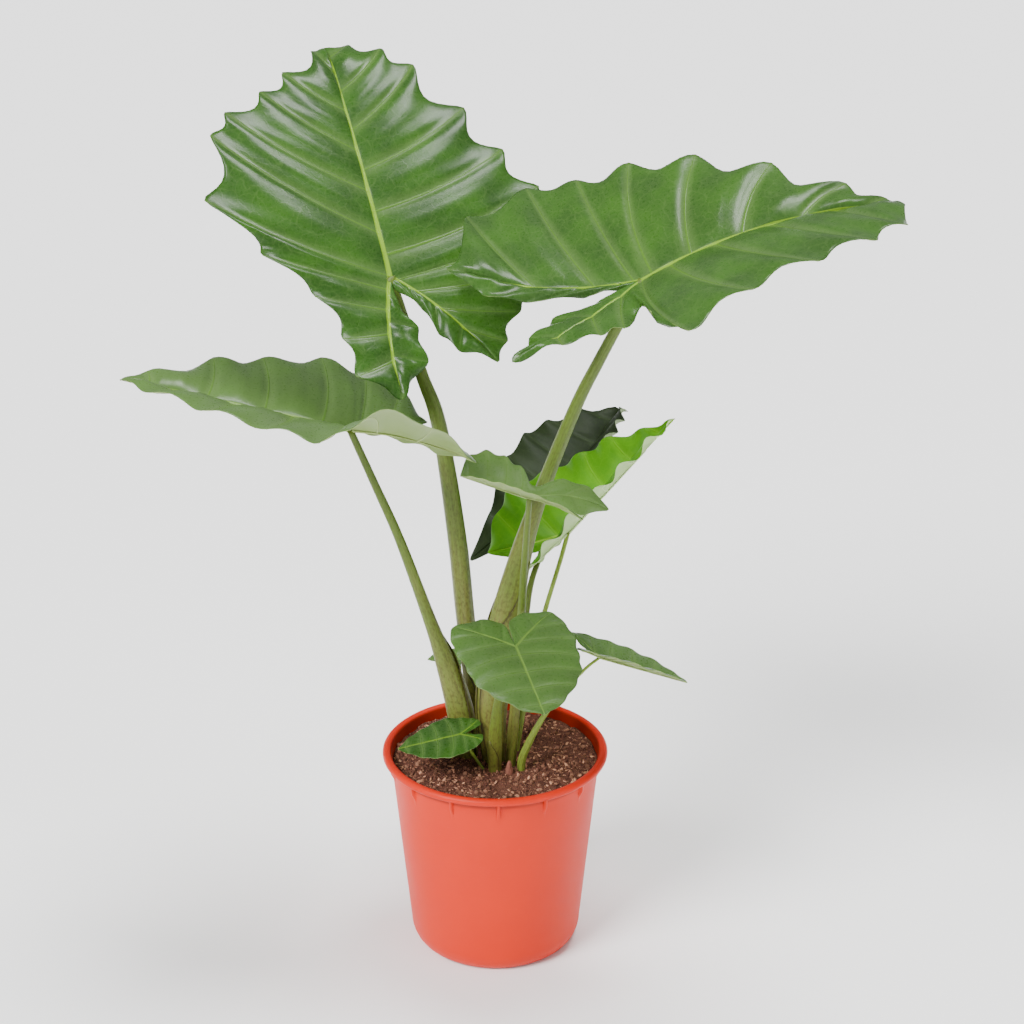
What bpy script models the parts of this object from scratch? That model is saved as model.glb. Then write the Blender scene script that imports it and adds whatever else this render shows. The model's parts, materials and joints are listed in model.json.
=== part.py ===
"""A potted alocasia: a tapered plastic nursery pot, potting soil, and a clump of leaves on long stalks.

The origin is the centre of the pot's underside. +Z is up and -Y is the plant's front. Lengths are in metres,
angles in degrees. Every leaf is a blade on its own stalk (petiole). A blade is described flat, half by half, in
shares of its midrib, then folded, bent and set on its stalk.
"""
import math

import bmesh
import bpy
import numpy as np
from mathutils import Vector

# Pot
POT_HEIGHT = 0.225
RIM_RADIUS = 0.120
RIM_WIDTH = 0.0095
RIM_BAND = 0.009
WALL = 0.0016
RIM_OVERHANG = 0.0088
TOP_RADIUS = RIM_RADIUS - RIM_OVERHANG
TAPER = 0.10
BASE_ROUND = 0.024
FLOOR = 0.0016
FOOT_HEIGHT = 0.003
FOOT_WIDTH = 0.006
BOSS_RADIUS = 0.020
RIB_COUNT = 14
RIB_WIDTH = 0.003
RIB_HEIGHT = 0.0105
RIB_DEPTH = 0.0036
RIB_START = -87.8
DRAIN_COUNT = 8
DRAIN_RADIUS = 0.005
DRAIN_SHARE = 0.62
NOTCH_COUNT = 6
NOTCH_WIDTH = 0.028
NOTCH_START = -64.5

# Soil and the clearances between pieces
HEADSPACE = 0.012
SOIL_GAP = 0.0004
TOUCH_GAP = 0.0004
SOIL_LEVEL = POT_HEIGHT - HEADSPACE

# Leaves
BLADE_THICKNESS = 0.0012
MARGIN_TAPER = 0.6
STALK_SIDES = 10
STALK_STEP = 0.035
ROWS_PER_VEIN = 2
BIG_LEAF_ROWS = 4
BIG_LEAF = 0.2
ACROSS = np.array((0.0, 0.3, 0.65, 1.0))

# The shape that most leaves share. "front" are the tips of the side veins from the joint to the leaf's tip, "back"
# those of the basal lobe, "rib" the lobe's tip and "inner" the points of the sinus margin, all as (across, along).
COMMON_HALF = dict(
    shift=0.5, dip=0.2, arch=0.10, front_cup=-5, back_cup=-5, lobe_droop=0, notches={}, gather=1.0, lobe_gather=1.3,
    front=[(0.58, 0.20), (0.52, 0.42), (0.40, 0.64), (0.22, 0.84)],
    back=[(0.56, -0.04), (0.48, -0.26)], rib=(0.30, -0.44), rib_arch=0.04,
    inner=[(0.13, -0.34), (0.06, -0.20)], front_fold=8, back_fold=8,
)

# One entry per leaf. joint is where the stalk meets the blade: x, y and height over the soil.
LEAVES = {
    # the tall leaf at the upper left, its upper face to the front
    "1": dict(
        joint=(-0.1055, 0.065, 0.5117), heading=110, rise=47, roll=0, midrib=0.301, droop=10, tip_droop=40, sinus=0.012,
        left=dict(
            shift=0.0, dip=0.3, front_cup=-12,
            front=[(0.57, 0.34), (0.50, 0.59), (0.43, 0.68), (0.29, 0.76), (0.19, 0.84), (0.05, 0.97)],
            back=[(0.42, 0.11), (0.28, -0.06), (0.22, -0.22), (0.20, -0.36)], rib=(0.06, -0.42), rib_arch=-0.10,
            inner=[(-0.06, -0.33), (-0.055, -0.20), (-0.01, -0.11)],
        ),
        right=dict(
            dip=0.3,
            front=[(0.59, 0.26), (0.50, 0.42), (0.41, 0.61), (0.28, 0.82), (0.19, 0.92), (0.085, 0.99)],
            back=[(0.60, 0.09), (0.57, -0.06), (0.41, -0.20), (0.34, -0.30)], rib=(0.27, -0.34), rib_arch=-0.10,
            inner=[(0.17, -0.31), (0.115, -0.235), (0.075, -0.125)],
        ),
    ),
    # the wide leaf at the upper right
    "2": dict(
        joint=(0.1434, -0.045, 0.5404), heading=4, rise=31, roll=14, midrib=0.269, droop=35, tip_droop=0, sinus=0.012,
        left=dict(
            dip=0.28, front_fold=14, back_fold=14, lobe_droop=-65, gather=1.35, lobe_gather=1.6,
            front=[(0.60, 0.15), (0.49, 0.37), (0.32, 0.60), (0.14, 0.82), (0.05, 0.94)],
            back=[(0.66, -0.05), (0.73, -0.27), (0.60, -0.57)], rib=(0.25, -0.65), rib_arch=-0.03,
            inner=[(0.13, -0.56), (0.085, -0.40), (0.045, -0.19)],
        ),
        right=dict(
            shift=0.0, dip=0.28, front_fold=16, back_fold=14, lobe_droop=-45, notches={5: 2.6}, gather=1.35,
            front=[(0.68, 0.07), (0.60, 0.30), (0.54, 0.53), (0.45, 0.74), (0.30, 0.90)],
            back=[(0.35, -0.13), (0.32, -0.22), (0.28, -0.36)], rib=(0.30, -0.52),
            inner=[(0.12, -0.46), (-0.01, -0.35), (0.0, -0.20)],
        ),
    ),
    # the leaf held out to the left
    "3": dict(
        joint=(-0.145, 0.0, 0.371), heading=180, rise=13, roll=-4, midrib=0.235, droop=0, tip_droop=0, sinus=0.012,
        left=dict(
            shift=0.0, dip=0.15, front_fold=17, back_fold=40, lobe_droop=50,
            front=[(0.50, 0.10), (0.43, 0.34), (0.32, 0.60), (0.15, 0.84)],
        ),
        right=dict(
            front_fold=9, back_fold=9,
            front=[(0.56, 0.19), (0.44, 0.44), (0.34, 0.65), (0.12, 0.90)],
            back=[(0.50, -0.02), (0.42, -0.18)], rib=(0.18, -0.30), inner=[(0.11, -0.25), (0.05, -0.16)],
        ),
    ),
    # the mid leaf, folded along its midrib
    "4": dict(
        joint=(0.0354, -0.055, 0.3187), heading=168, rise=14, roll=0, midrib=0.073, droop=0, tip_droop=0, sinus=0.003,
        left=dict(
            dip=0.16, front_fold=35, back_fold=35, lobe_droop=26,
            front=[(0.44, 0.20), (0.42, 0.44), (0.32, 0.68), (0.16, 0.88)],
            back=[(0.44, -0.06), (0.42, -0.32)], rib=(0.34, -0.70), rib_arch=-0.06,
            inner=[(0.16, -0.48), (0.07, -0.22)],
        ),
        right=dict(
            dip=0.18, front_fold=38, back_fold=38, notches={4: 3.0}, lobe_droop=26, rib_arch=-0.10,
            front=[(0.44, 0.26), (0.53, 0.52), (0.52, 0.80), (0.34, 1.00)],
            back=[(0.48, -0.30), (0.56, -0.62)], rib=(0.42, -0.90), inner=[(0.10, -0.72), (0.03, -0.32)],
        ),
    ),
    # the young bright leaf on the right
    "5": dict(
        joint=(0.0768, 0.080, 0.2244), heading=10, rise=47, roll=15, midrib=0.167, droop=0, tip_droop=0, sinus=0.008,
        left=dict(
            dip=0.10, front_fold=15, back_fold=25, front=[(0.46, 0.20), (0.36, 0.42), (0.28, 0.62), (0.10, 0.84)],
        ),
        right=dict(
            dip=0.10, front_fold=48, back_fold=47, front=[(0.38, 0.20), (0.32, 0.42), (0.24, 0.62), (0.09, 0.84)],
            back=[(0.36, -0.04), (0.32, -0.26)], rib=(0.28, -0.46),
        ),
    ),
    # the dark leaf behind it
    "6": dict(
        joint=(0.0616, 0.190, 0.2125), heading=60, rise=20, roll=10, midrib=0.176, droop=0, tip_droop=0, sinus=0.008,
        left=dict(
            dip=0.08, front_fold=15, back_fold=15, lobe_droop=85,
            front=[(0.42, 0.18), (0.42, 0.42), (0.34, 0.62), (0.20, 0.84)],
            back=[(0.38, -0.04), (0.31, -0.26)], rib=(0.28, -0.50), inner=[(0.13, -0.38), (0.06, -0.20)],
        ),
        right=dict(
            dip=0.08, front_fold=60, back_fold=50, lobe_droop=30,
            front=[(0.42, 0.18), (0.42, 0.42), (0.34, 0.62), (0.20, 0.84)],
        ),
    ),
    # the low heart-shaped leaf at the front
    "7": dict(
        joint=(0.022, -0.080, 0.167), heading=-72, rise=-20, roll=0, midrib=0.096, droop=0, tip_droop=0, sinus=0.006,
        left=dict(
            dip=0.09, front_fold=5, back_fold=5, front=[(0.62, 0.28), (0.58, 0.48), (0.45, 0.68), (0.25, 0.88)],
            back=[(0.66, 0.02), (0.62, -0.22)], rib=(0.48, -0.38), inner=[(0.24, -0.46), (0.04, -0.38)],
        ),
        right=dict(
            dip=0.09, front_fold=5, back_fold=5, front=[(0.62, 0.28), (0.58, 0.48), (0.45, 0.68), (0.25, 0.88)],
            back=[(0.66, 0.02), (0.66, -0.22)], rib=(0.54, -0.36), inner=[(0.26, -0.45), (0.04, -0.36)],
        ),
    ),
    # the small narrow leaf on the right
    "8": dict(
        joint=(0.109, -0.030, 0.132), heading=0, rise=-18, roll=0, midrib=0.096, droop=0, tip_droop=0, sinus=0.006,
        left=dict(
            dip=0.06, front_fold=5, back_fold=5, front=[(0.42, 0.15), (0.38, 0.40), (0.28, 0.65), (0.12, 0.88)],
            back=[(0.42, -0.10)], rib=(0.34, -0.30), inner=[(0.12, -0.20)],
        ),
        right=dict(
            dip=0.06, front_fold=30, back_fold=28, front=[(0.42, 0.15), (0.38, 0.40), (0.28, 0.65), (0.12, 0.88)],
            back=[(0.42, -0.10)], rib=(0.34, -0.30), inner=[(0.12, -0.20)],
        ),
    ),
    # the small leaf just over the soil
    "9": dict(
        joint=(-0.036, -0.040, 0.047), heading=186, rise=-12, roll=-10, midrib=0.067, droop=0, tip_droop=0, sinus=0.004,
        left=dict(
            dip=0.06, front_fold=0, back_fold=0, front=[(0.50, 0.20), (0.44, 0.42), (0.34, 0.64), (0.18, 0.84)],
            back=[(0.44, -0.04), (0.36, -0.22)], rib=(0.24, -0.30),
        ),
        right=dict(
            dip=0.06, front_fold=0, back_fold=0, front=[(0.50, 0.20), (0.44, 0.42), (0.34, 0.64), (0.18, 0.84)],
            back=[(0.44, -0.04), (0.36, -0.22)], rib=(0.24, -0.30),
        ),
    ),
    # the seedling-sized leaf behind stalk 3
    "10": dict(
        joint=(-0.0384, 0.065, 0.0827), heading=180, rise=0, roll=0, midrib=0.035, droop=0, tip_droop=0, sinus=0.003,
        left=dict(dip=0.06, front_fold=15, back_fold=15), right=dict(dip=0.06, front_fold=15, back_fold=15),
    ),
}

# One route per stalk, from the soil up: (x, y, height over the soil, half width, half depth). Its last point is the
# leaf's joint, which is left out here.
STALKS = {
    "1": [(-0.010, 0.026, 0.0, 0.0100, 0.0090), (-0.022, 0.030, 0.060, 0.0098, 0.0090),
          (-0.031, 0.028, 0.150, 0.0100, 0.0095), (-0.0391, 0.026, 0.242, 0.0098, 0.0095),
          (-0.0565, 0.034, 0.363, 0.0080, 0.0080), (-0.0751, 0.045, 0.418, 0.0065, 0.0065)],
    "2": [(-0.001, -0.011, 0.0, 0.0115, 0.0085), (-0.003, -0.010, 0.070, 0.0165, 0.0110),
          (0.010, -0.009, 0.150, 0.0185, 0.0110), (0.025, -0.007, 0.228, 0.0120, 0.0095),
          (0.045, -0.005, 0.297, 0.0080, 0.0080), (0.080, -0.012, 0.396, 0.0065, 0.0065),
          (0.1041, -0.025, 0.4537, 0.0058, 0.0058)],
    "3": [(-0.031, 0.0, 0.0, 0.0125, 0.0100), (-0.037, 0.0, 0.053, 0.0138, 0.0105),
          (-0.050, 0.0, 0.105, 0.0110, 0.0095), (-0.066, 0.0, 0.155, 0.0070, 0.0070),
          (-0.097, 0.0, 0.250, 0.0050, 0.0050), (-0.121, 0.0, 0.311, 0.0042, 0.0042)],
    "4": [(0.016, -0.021, 0.0, 0.0058, 0.0055), (0.022, -0.027, 0.085, 0.0052, 0.0050),
          (0.0275, -0.029, 0.180, 0.0042, 0.0040), (0.0315, -0.040, 0.255, 0.0034, 0.0034)],
    "5": [(0.021, 0.010, 0.0, 0.0040, 0.0040), (0.037, 0.026, 0.089, 0.0034, 0.0034),
          (0.052, 0.045, 0.146, 0.0026, 0.0026), (0.069, 0.068, 0.197, 0.0024, 0.0024)],
    "6": [(0.014, 0.024, 0.0, 0.0042, 0.0042), (0.029, 0.066, 0.0935, 0.0038, 0.0038),
          (0.0374, 0.105, 0.1492, 0.0034, 0.0034), (0.0499, 0.140, 0.1772, 0.0030, 0.0030)],
    "7": [(0.000, -0.030, 0.0, 0.0070, 0.0055), (0.000, -0.040, 0.038, 0.0075, 0.0055),
          (0.006, -0.063, 0.112, 0.0034, 0.0034)],
    "8": [(0.027, -0.030, 0.0, 0.0042, 0.0038), (0.031, -0.032, 0.022, 0.0042, 0.0038),
          (0.054, -0.034, 0.070, 0.0026, 0.0026), (0.090, -0.032, 0.115, 0.0017, 0.0017)],
    "9": [(-0.010, -0.0285, 0.0, 0.0018, 0.0018), (-0.023, -0.032, 0.019, 0.0016, 0.0016)],
    "10": [(-0.028, 0.024, 0.0, 0.0018, 0.0018), (-0.036, 0.050, 0.060, 0.0013, 0.0013)],
}
STALK_TOPS = {"1": 0.0055, "2": 0.0048, "3": 0.0036, "4": 0.0028, "5": 0.0024, "6": 0.0028, "7": 0.0026,
              "8": 0.0015, "9": 0.0014, "10": 0.0011}

# The dried base of an old leaf: (x, y, height over the soil, half width, half depth)
STUB = [(0.015, -0.036, 0.0, 0.0042, 0.0034), (0.016, -0.040, 0.008, 0.0034, 0.0028), (0.018, -0.044, 0.015, 0.0014, 0.0012)]


def clear_scene():
    for obj in list(bpy.data.objects):
        bpy.data.objects.remove(obj, do_unlink=True)


def make_material(name, colour, roughness):
    material = bpy.data.materials.new(name)
    material.use_nodes = True
    shader = material.node_tree.nodes["Principled BSDF"]
    shader.inputs["Base Color"].default_value = (*colour, 1.0)
    shader.inputs["Roughness"].default_value = roughness
    shader.inputs["Metallic"].default_value = 0.0
    return material


def make_object(name, points, faces, material, smooth_angle=40):
    mesh = bpy.data.meshes.new(name)
    mesh.from_pydata([tuple(map(float, p)) for p in points], [], faces)
    mesh.materials.append(material)
    mesh.shade_smooth()
    mesh.set_sharp_from_angle(angle=math.radians(smooth_angle))
    obj = bpy.data.objects.new(name, mesh)
    bpy.context.collection.objects.link(obj)
    return obj


# ---------------------------------------------------------------- pot and soil

def column_angles():
    """The pot's columns: both edges of each rib, top and foot, and three between two ribs."""
    half = math.degrees(RIB_WIDTH / 2 / TOP_RADIUS)
    pitch = 360 / RIB_COUNT
    shares = (-1.35 * half, -half, half, 1.35 * half, 0.3 * pitch, 0.5 * pitch, 0.7 * pitch)
    return [(RIB_START + k * pitch + s, j in (1, 2)) for k in range(RIB_COUNT) for j, s in enumerate(shares)]


def outer_radius(z):
    """The outer wall's radius at height z: a straight taper over a rounded bottom edge."""
    radius = TOP_RADIUS - TAPER * (POT_HEIGHT - RIM_BAND - max(z, BASE_ROUND))
    if z < BASE_ROUND:
        radius -= BASE_ROUND * 0.6 * (1 - math.sqrt(1 - (1 - z / BASE_ROUND) ** 2))
    return radius


def pot_profile():
    """(radius, height, rib row) from the inner floor's edge over the rim to the underside."""
    top = POT_HEIGHT
    under = top - RIM_BAND
    floor = FOOT_HEIGHT + FLOOR
    inner_heights = (floor + 0.3 * BASE_ROUND, BASE_ROUND, 0.5 * top, SOIL_LEVEL, under)
    profile = [(outer_radius(floor) - WALL * 2.2, floor, False)]
    profile += [(outer_radius(z) - WALL, z, False) for z in inner_heights]
    profile += [
        (RIM_RADIUS - RIM_WIDTH, top - 0.003, False),
        (RIM_RADIUS - 0.8 * RIM_WIDTH, top - 0.0006, False),
        (RIM_RADIUS - 0.5 * RIM_WIDTH, top, False),
        (RIM_RADIUS - 0.2 * RIM_WIDTH, top - 0.0008, False),
        (RIM_RADIUS, top - 0.0035, False),
        (RIM_RADIUS - 0.0004, top - 0.7 * RIM_BAND, False),
        (RIM_RADIUS - 0.25 * RIM_WIDTH, under, False),
        (outer_radius(under) + 0.0004, under - 0.0002, True),
        (outer_radius(under - RIB_HEIGHT), under - RIB_HEIGHT, True),
        (outer_radius(under - RIB_HEIGHT - 0.0012), under - RIB_HEIGHT - 0.0012, False),
    ]
    outer_heights = (0.5 * top, BASE_ROUND, 0.5 * BASE_ROUND, 0.2 * BASE_ROUND, 0.05 * BASE_ROUND)
    profile += [(outer_radius(z), z, False) for z in outer_heights]
    foot = outer_radius(0.0)
    profile += [
        (foot, 0.0, False),
        (foot - FOOT_WIDTH, 0.0, False),
        (foot - FOOT_WIDTH - 0.001, FOOT_HEIGHT, False),
        (BOSS_RADIUS + 0.001, FOOT_HEIGHT, False),
        (BOSS_RADIUS, 0.0, False),
    ]
    return profile


def turned_solid(profile, columns, first_height, last_height):
    """Points and faces of a turned body whose profile starts and ends on the axis."""
    count = len(columns)
    points = []
    for radius, z, rib_row in profile:
        for angle, on_rib in columns:
            a = math.radians(angle)
            r = radius + (RIB_DEPTH if rib_row and on_rib else 0.0)
            points.append((r * math.cos(a), r * math.sin(a), z))
    faces = []
    for i in range(len(profile) - 1):
        for j in range(count):
            k = (j + 1) % count
            faces.append((i * count + j, (i + 1) * count + j, (i + 1) * count + k, i * count + k))
    first, last = len(points), len(points) + 1
    points += [(0.0, 0.0, first_height), (0.0, 0.0, last_height)]
    base = (len(profile) - 1) * count
    for j in range(count):
        k = (j + 1) % count
        faces.append((first, j, k))
        faces.append((last, base + k, base + j))
    return points, faces


def cutter_object(name, mesh_builder, place):
    mesh = bpy.data.meshes.new(name)
    body = bmesh.new()
    mesh_builder(body)
    body.to_mesh(mesh)
    body.free()
    obj = bpy.data.objects.new(name, mesh)
    obj.location = place[0]
    obj.rotation_euler = (0.0, 0.0, place[1])
    obj.hide_render = True
    obj.display_type = "WIRE"
    bpy.context.collection.objects.link(obj)
    return obj


def cut(obj, cutter):
    modifier = obj.modifiers.new("cut_" + cutter.name, "BOOLEAN")
    modifier.operation = "DIFFERENCE"
    modifier.solver = "EXACT"
    modifier.object = cutter


def make_pot():
    """The pot: rolled rim, stacking ribs under it, tapered wall, raised floor on a notched foot, drain holes."""
    points, faces = turned_solid(pot_profile(), column_angles(), FOOT_HEIGHT + FLOOR, 0.0)
    pot = make_object("pot", points, faces, make_material("pot_plastic", (0.75, 0.13, 0.07), 0.4), 35)
    ring = DRAIN_SHARE * outer_radius(0.0)
    for k in range(DRAIN_COUNT):
        a = 2 * math.pi * (k + 0.5) / DRAIN_COUNT
        place = Vector((ring * math.cos(a), ring * math.sin(a), FOOT_HEIGHT))
        cut(pot, cutter_object(f"drain_cutter_{k}", drain_body, (place, 0.0)))
    for k in range(NOTCH_COUNT):
        a = math.radians(NOTCH_START + 360 * k / NOTCH_COUNT)
        place = Vector((outer_radius(0.0) * math.cos(a), outer_radius(0.0) * math.sin(a), 0.0))
        cut(pot, cutter_object(f"notch_cutter_{k}", notch_body, (place, a)))
    return pot


def drain_body(body):
    bmesh.ops.create_cone(body, cap_ends=True, segments=12, radius1=DRAIN_RADIUS, radius2=DRAIN_RADIUS, depth=6 * FLOOR)


def notch_body(body):
    bmesh.ops.create_cube(body, size=1.0)
    bmesh.ops.scale(body, vec=(3 * FOOT_WIDTH, NOTCH_WIDTH, 1.8 * FOOT_HEIGHT), verts=body.verts)


def make_soil():
    """The soil: it fills the pot from the floor to the headspace, a small gap off the plastic."""
    floor = FOOT_HEIGHT + FLOOR + SOIL_GAP
    heights = (floor + 0.3 * BASE_ROUND, BASE_ROUND, 0.5 * POT_HEIGHT, SOIL_LEVEL)
    profile = [(outer_radius(z) - WALL - SOIL_GAP, z, False) for z in reversed(heights)]
    profile.append((outer_radius(floor) - WALL * 2.2 - SOIL_GAP - 0.001, floor, False))
    columns = [(angle, False) for angle, _ in column_angles()]
    points, faces = turned_solid(profile, columns, SOIL_LEVEL, floor)
    return make_object("soil", points, faces, make_material("soil", (0.05, 0.025, 0.015), 0.95))


# ---------------------------------------------------------------- leaf blades

def mix(a, b, q):
    return a + (b - a) * q


def ease(q):
    q = np.clip(q, 0.0, 1.0)
    return q * q * (3 - 2 * q)


def rib_point(leaf, half, s):
    """A point on the basal rib, a slight curve from the joint to the lobe's tip; s runs from 0 to 1."""
    end = np.array(half["rib"]) * leaf["midrib"]
    control = end * 0.5 + np.array((end[1], -end[0])) * half["rib_arch"]
    return 2 * (1 - s) * s * control + s * s * end


def lobe_root(leaf, half, share):
    """Where a vein leaves the basal rib; the roots gather towards the joint."""
    return rib_point(leaf, half, share ** half["lobe_gather"])


def vein_list(leaf, half, step):
    """[(row, root, tip, arch)] of the side veins, from the leaf's tip round the lobe to the sinus."""
    n, m, length, shift = len(half["front"]), len(half["back"]), leaf["midrib"], half["shift"]
    front_rows = n * step
    rib_rows = int((m + 1 - shift) * step)
    found = [(0, np.array((0.0, length)), np.array((0.0, length)), 0.0)]
    for k in range(n - 1, -1, -1):
        root = np.array((0.0, length * ((k + shift) / n) ** half["gather"]))
        found.append((front_rows - int((k + shift) * step), root, np.array(half["front"][k]) * length, half["arch"]))
    for j in range(m):
        row = int((j + 1 - shift) * step)
        found.append((front_rows + row, lobe_root(leaf, half, row / rib_rows), np.array(half["back"][j]) * length, 0.04))
    end = rib_point(leaf, half, 1.0)
    found.append((front_rows + rib_rows, end, end + (end - rib_point(leaf, half, 0.8)) * 0.4, 0.0))
    count = len(half["inner"])
    for i in range(count):
        row = int(round(rib_rows * (i + 1) / (count + 1)))
        root = lobe_root(leaf, half, 1 - row / rib_rows)
        found.append((front_rows + rib_rows + row, root, np.array(half["inner"][i]) * length, 0.0))
    found.append((front_rows + 2 * rib_rows, np.zeros(2), np.array((0.0, -leaf["sinus"])), 0.0))
    return found, front_rows, rib_rows


def spine_point(leaf, half, row, front_rows, rib_rows):
    """Where a row starts: down the midrib to the joint, out along the basal rib and back."""
    if row <= front_rows:
        return np.array((0.0, leaf["midrib"] * ((front_rows - row) / front_rows) ** half["gather"]))
    out = row - front_rows
    return lobe_root(leaf, half, min(out, 2 * rib_rows - out) / rib_rows)


def margin_point(found, a, q):
    """A point on the smooth curve through the vein tips, a share q on from tip a."""
    p1, p2 = found[a][2], found[a + 1][2]
    p0 = found[a - 1][2] if a > 0 else 2 * p1 - p2
    p3 = found[a + 2][2] if a + 2 < len(found) else 2 * p2 - p1
    cubic = (3 * p1 - p0 - 3 * p2 + p3) * q ** 3
    return 0.5 * (2 * p1 + (p2 - p0) * q + (2 * p0 - 5 * p1 + 4 * p2 - p3) * q * q + cubic)


def flat_half(leaf, half, step, across):
    """Half a blade laid flat, as rows of points from its rib to its scalloped margin."""
    found, front_rows, rib_rows = vein_list(leaf, half, step)
    last = len(found) - 1
    t = across[:, None]
    rows = []
    for row in range(front_rows + 2 * rib_rows + 1):
        a = max(i for i in range(last) if found[i][0] <= row)
        q = (row - found[a][0]) / (found[a + 1][0] - found[a][0])
        root = spine_point(leaf, half, row, front_rows, rib_rows)
        end = margin_point(found, a, q)
        span = np.linalg.norm(found[a + 1][2] - found[a][2])
        reach = np.linalg.norm(end - root)
        dip = half["dip"] * half["notches"].get(a, 1.0) * span * math.sin(math.pi * q) ** 1.6
        dip *= 0.2 if a == 0 else 0.0 if a == last - 1 else 0.6 if a > len(half["front"]) else 1.0
        if reach > 1e-6:
            end = root + (end - root) * max(1 - dip / reach, 0.45)
        run = end - root
        control = root + run * 0.5 + np.array((run[1], -run[0])) * mix(found[a][3], found[a + 1][3], q)
        rows.append((1 - t) ** 2 * root + 2 * (1 - t) * t * control + t ** 2 * end)
    return np.array(rows)


def bend_half(leaf, half, side, flat):
    """The flat half folded at the midrib, curved across, drooped along, in the leaf's own frame."""
    x, y, length = flat[..., 0], flat[..., 1], leaf["midrib"]
    line = np.linspace(-1.2, 1.3, 1001) * length
    forward, back = np.clip(line / length, 0, None), np.clip(-line / length, 0, None)
    pitch = math.radians(half["lobe_droop"]) * back - math.radians(leaf["droop"]) * forward
    pitch = pitch - math.radians(leaf["tip_droop"]) * ease((forward - 0.8) / 0.25)
    step = line[1] - line[0]
    along, high = np.cumsum(np.cos(pitch)) * step, np.cumsum(np.sin(pitch)) * step
    py = np.interp(y, line, along) - np.interp(0.0, line, along)
    pz = np.interp(y, line, high) - np.interp(0.0, line, high)
    slope = np.interp(y, line, pitch)
    share = ease((y + 0.15 * length) / (0.3 * length))
    fold = np.radians(mix(half["back_fold"], half["front_fold"], share))
    cup = np.radians(mix(half["back_cup"], half["front_cup"], share)) / (0.6 * length)
    reach = np.abs(x)
    tilt = fold[..., None] + cup[..., None] * reach[..., None] * (np.arange(24) + 0.5) / 24
    out, up = np.cos(tilt).mean(-1) * reach, np.sin(tilt).mean(-1) * reach
    sideways = np.sign(x) * side * out
    return np.stack([sideways, py - np.sin(slope) * up, pz + np.cos(slope) * up], -1)


def leaf_axes(leaf):
    """The leaf's right, tip and up directions in the plant's frame."""
    h, e, r = (math.radians(leaf[key]) for key in ("heading", "rise", "roll"))
    tip = np.array((math.cos(e) * math.cos(h), math.cos(e) * math.sin(h), math.sin(e)))
    right = np.array((math.sin(h), -math.cos(h), 0.0))
    up = np.cross(right, tip)
    return right * math.cos(r) - up * math.sin(r), tip, up * math.cos(r) + right * math.sin(r)


def joint_point(leaf):
    x, y, height = leaf["joint"]
    return np.array((x, y, SOIL_LEVEL + height))


def blade_sheet(leaf, step, across):
    """The blade as one open sheet of points and faces; rows that share a rib share its points."""
    right, tip, up = leaf_axes(leaf)
    points, faces, known = [], [], {}
    for side, name in ((-1, "left"), (1, "right")):
        half = dict(COMMON_HALF, **leaf[name])
        flat = flat_half(leaf, half, step, across)
        bent = bend_half(leaf, half, side, flat)
        index = np.zeros(flat.shape[:2], int)
        for i, j in np.ndindex(index.shape):
            key = (round(float(flat[i, j, 0]) * side, 7) + 0.0, round(float(flat[i, j, 1]), 7))
            if key not in known:
                known[key] = len(points)
                p = bent[i, j]
                points.append(joint_point(leaf) + right * p[0] + tip * p[1] + up * p[2])
            index[i, j] = known[key]
        for i in range(index.shape[0] - 1):
            for j in range(index.shape[1] - 1):
                corners = [index[i, j], index[i, j + 1], index[i + 1, j + 1], index[i + 1, j]]
                if side > 0:
                    corners.reverse()
                for face in (corners[:3], [corners[0], corners[2], corners[3]]):
                    if len(set(face)) == 3:
                        faces.append(face)
    return np.array(points), faces


def sheet_normals(points, faces):
    normals = np.zeros_like(points)
    for face in faces:
        a, b, c = (points[face[n]] for n in (0, 1, 2))
        normal = np.cross(b - a, c - a)
        for corner in face:
            normals[corner] += normal
    return normals / np.maximum(np.linalg.norm(normals, axis=1, keepdims=True), 1e-12)


def thick_sheet(points, faces, thickness):
    """A closed skin round the sheet: its upper face, its lower face and the rim between them."""
    normals = sheet_normals(points, faces)
    uses = {}
    for face in faces:
        for n, corner in enumerate(face):
            edge = (face[n - 1], corner)
            uses[edge] = uses.get(edge, 0) + 1
    rim = [edge for edge in uses if (edge[1], edge[0]) not in uses]
    on_rim = {corner for edge in rim for corner in edge}
    half = np.array([thickness / 2 * (MARGIN_TAPER if n in on_rim else 1.0) for n in range(len(points))])[:, None]
    count = len(points)
    solid = [list(face) for face in faces]
    solid += [[corner + count for corner in reversed(face)] for face in faces]
    solid += [[b, a, a + count, b + count] for a, b in rim]
    return np.vstack([points + normals * half, points - normals * half]), solid


def make_blade(key, material):
    leaf = LEAVES[key]
    rows = BIG_LEAF_ROWS if leaf["midrib"] > BIG_LEAF else ROWS_PER_VEIN
    points, faces = blade_sheet(leaf, rows, ACROSS)
    points, faces = thick_sheet(points, faces, BLADE_THICKNESS)
    return make_object(f"blade_{key}", points, faces, material, 60)


# ---------------------------------------------------------------- stalks

def smooth_route(stations, step):
    """Stations read from a smooth curve through the given ones, about a step apart."""
    given = np.array(stations, float)
    route = []
    for k in range(len(given) - 1):
        p1, p2 = given[k], given[k + 1]
        p0 = given[k - 1] if k > 0 else 2 * p1 - p2
        p3 = given[k + 2] if k + 2 < len(given) else 2 * p2 - p1
        count = max(1, math.ceil(np.linalg.norm(p2[:3] - p1[:3]) / step))
        for n in range(count):
            q = n / count
            cubic = (3 * p1 - p0 - 3 * p2 + p3) * q ** 3
            route.append(0.5 * (2 * p1 + (p2 - p0) * q + (2 * p0 - 5 * p1 + 4 * p2 - p3) * q * q + cubic))
    route.append(given[-1])
    return np.array(route)


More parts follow.
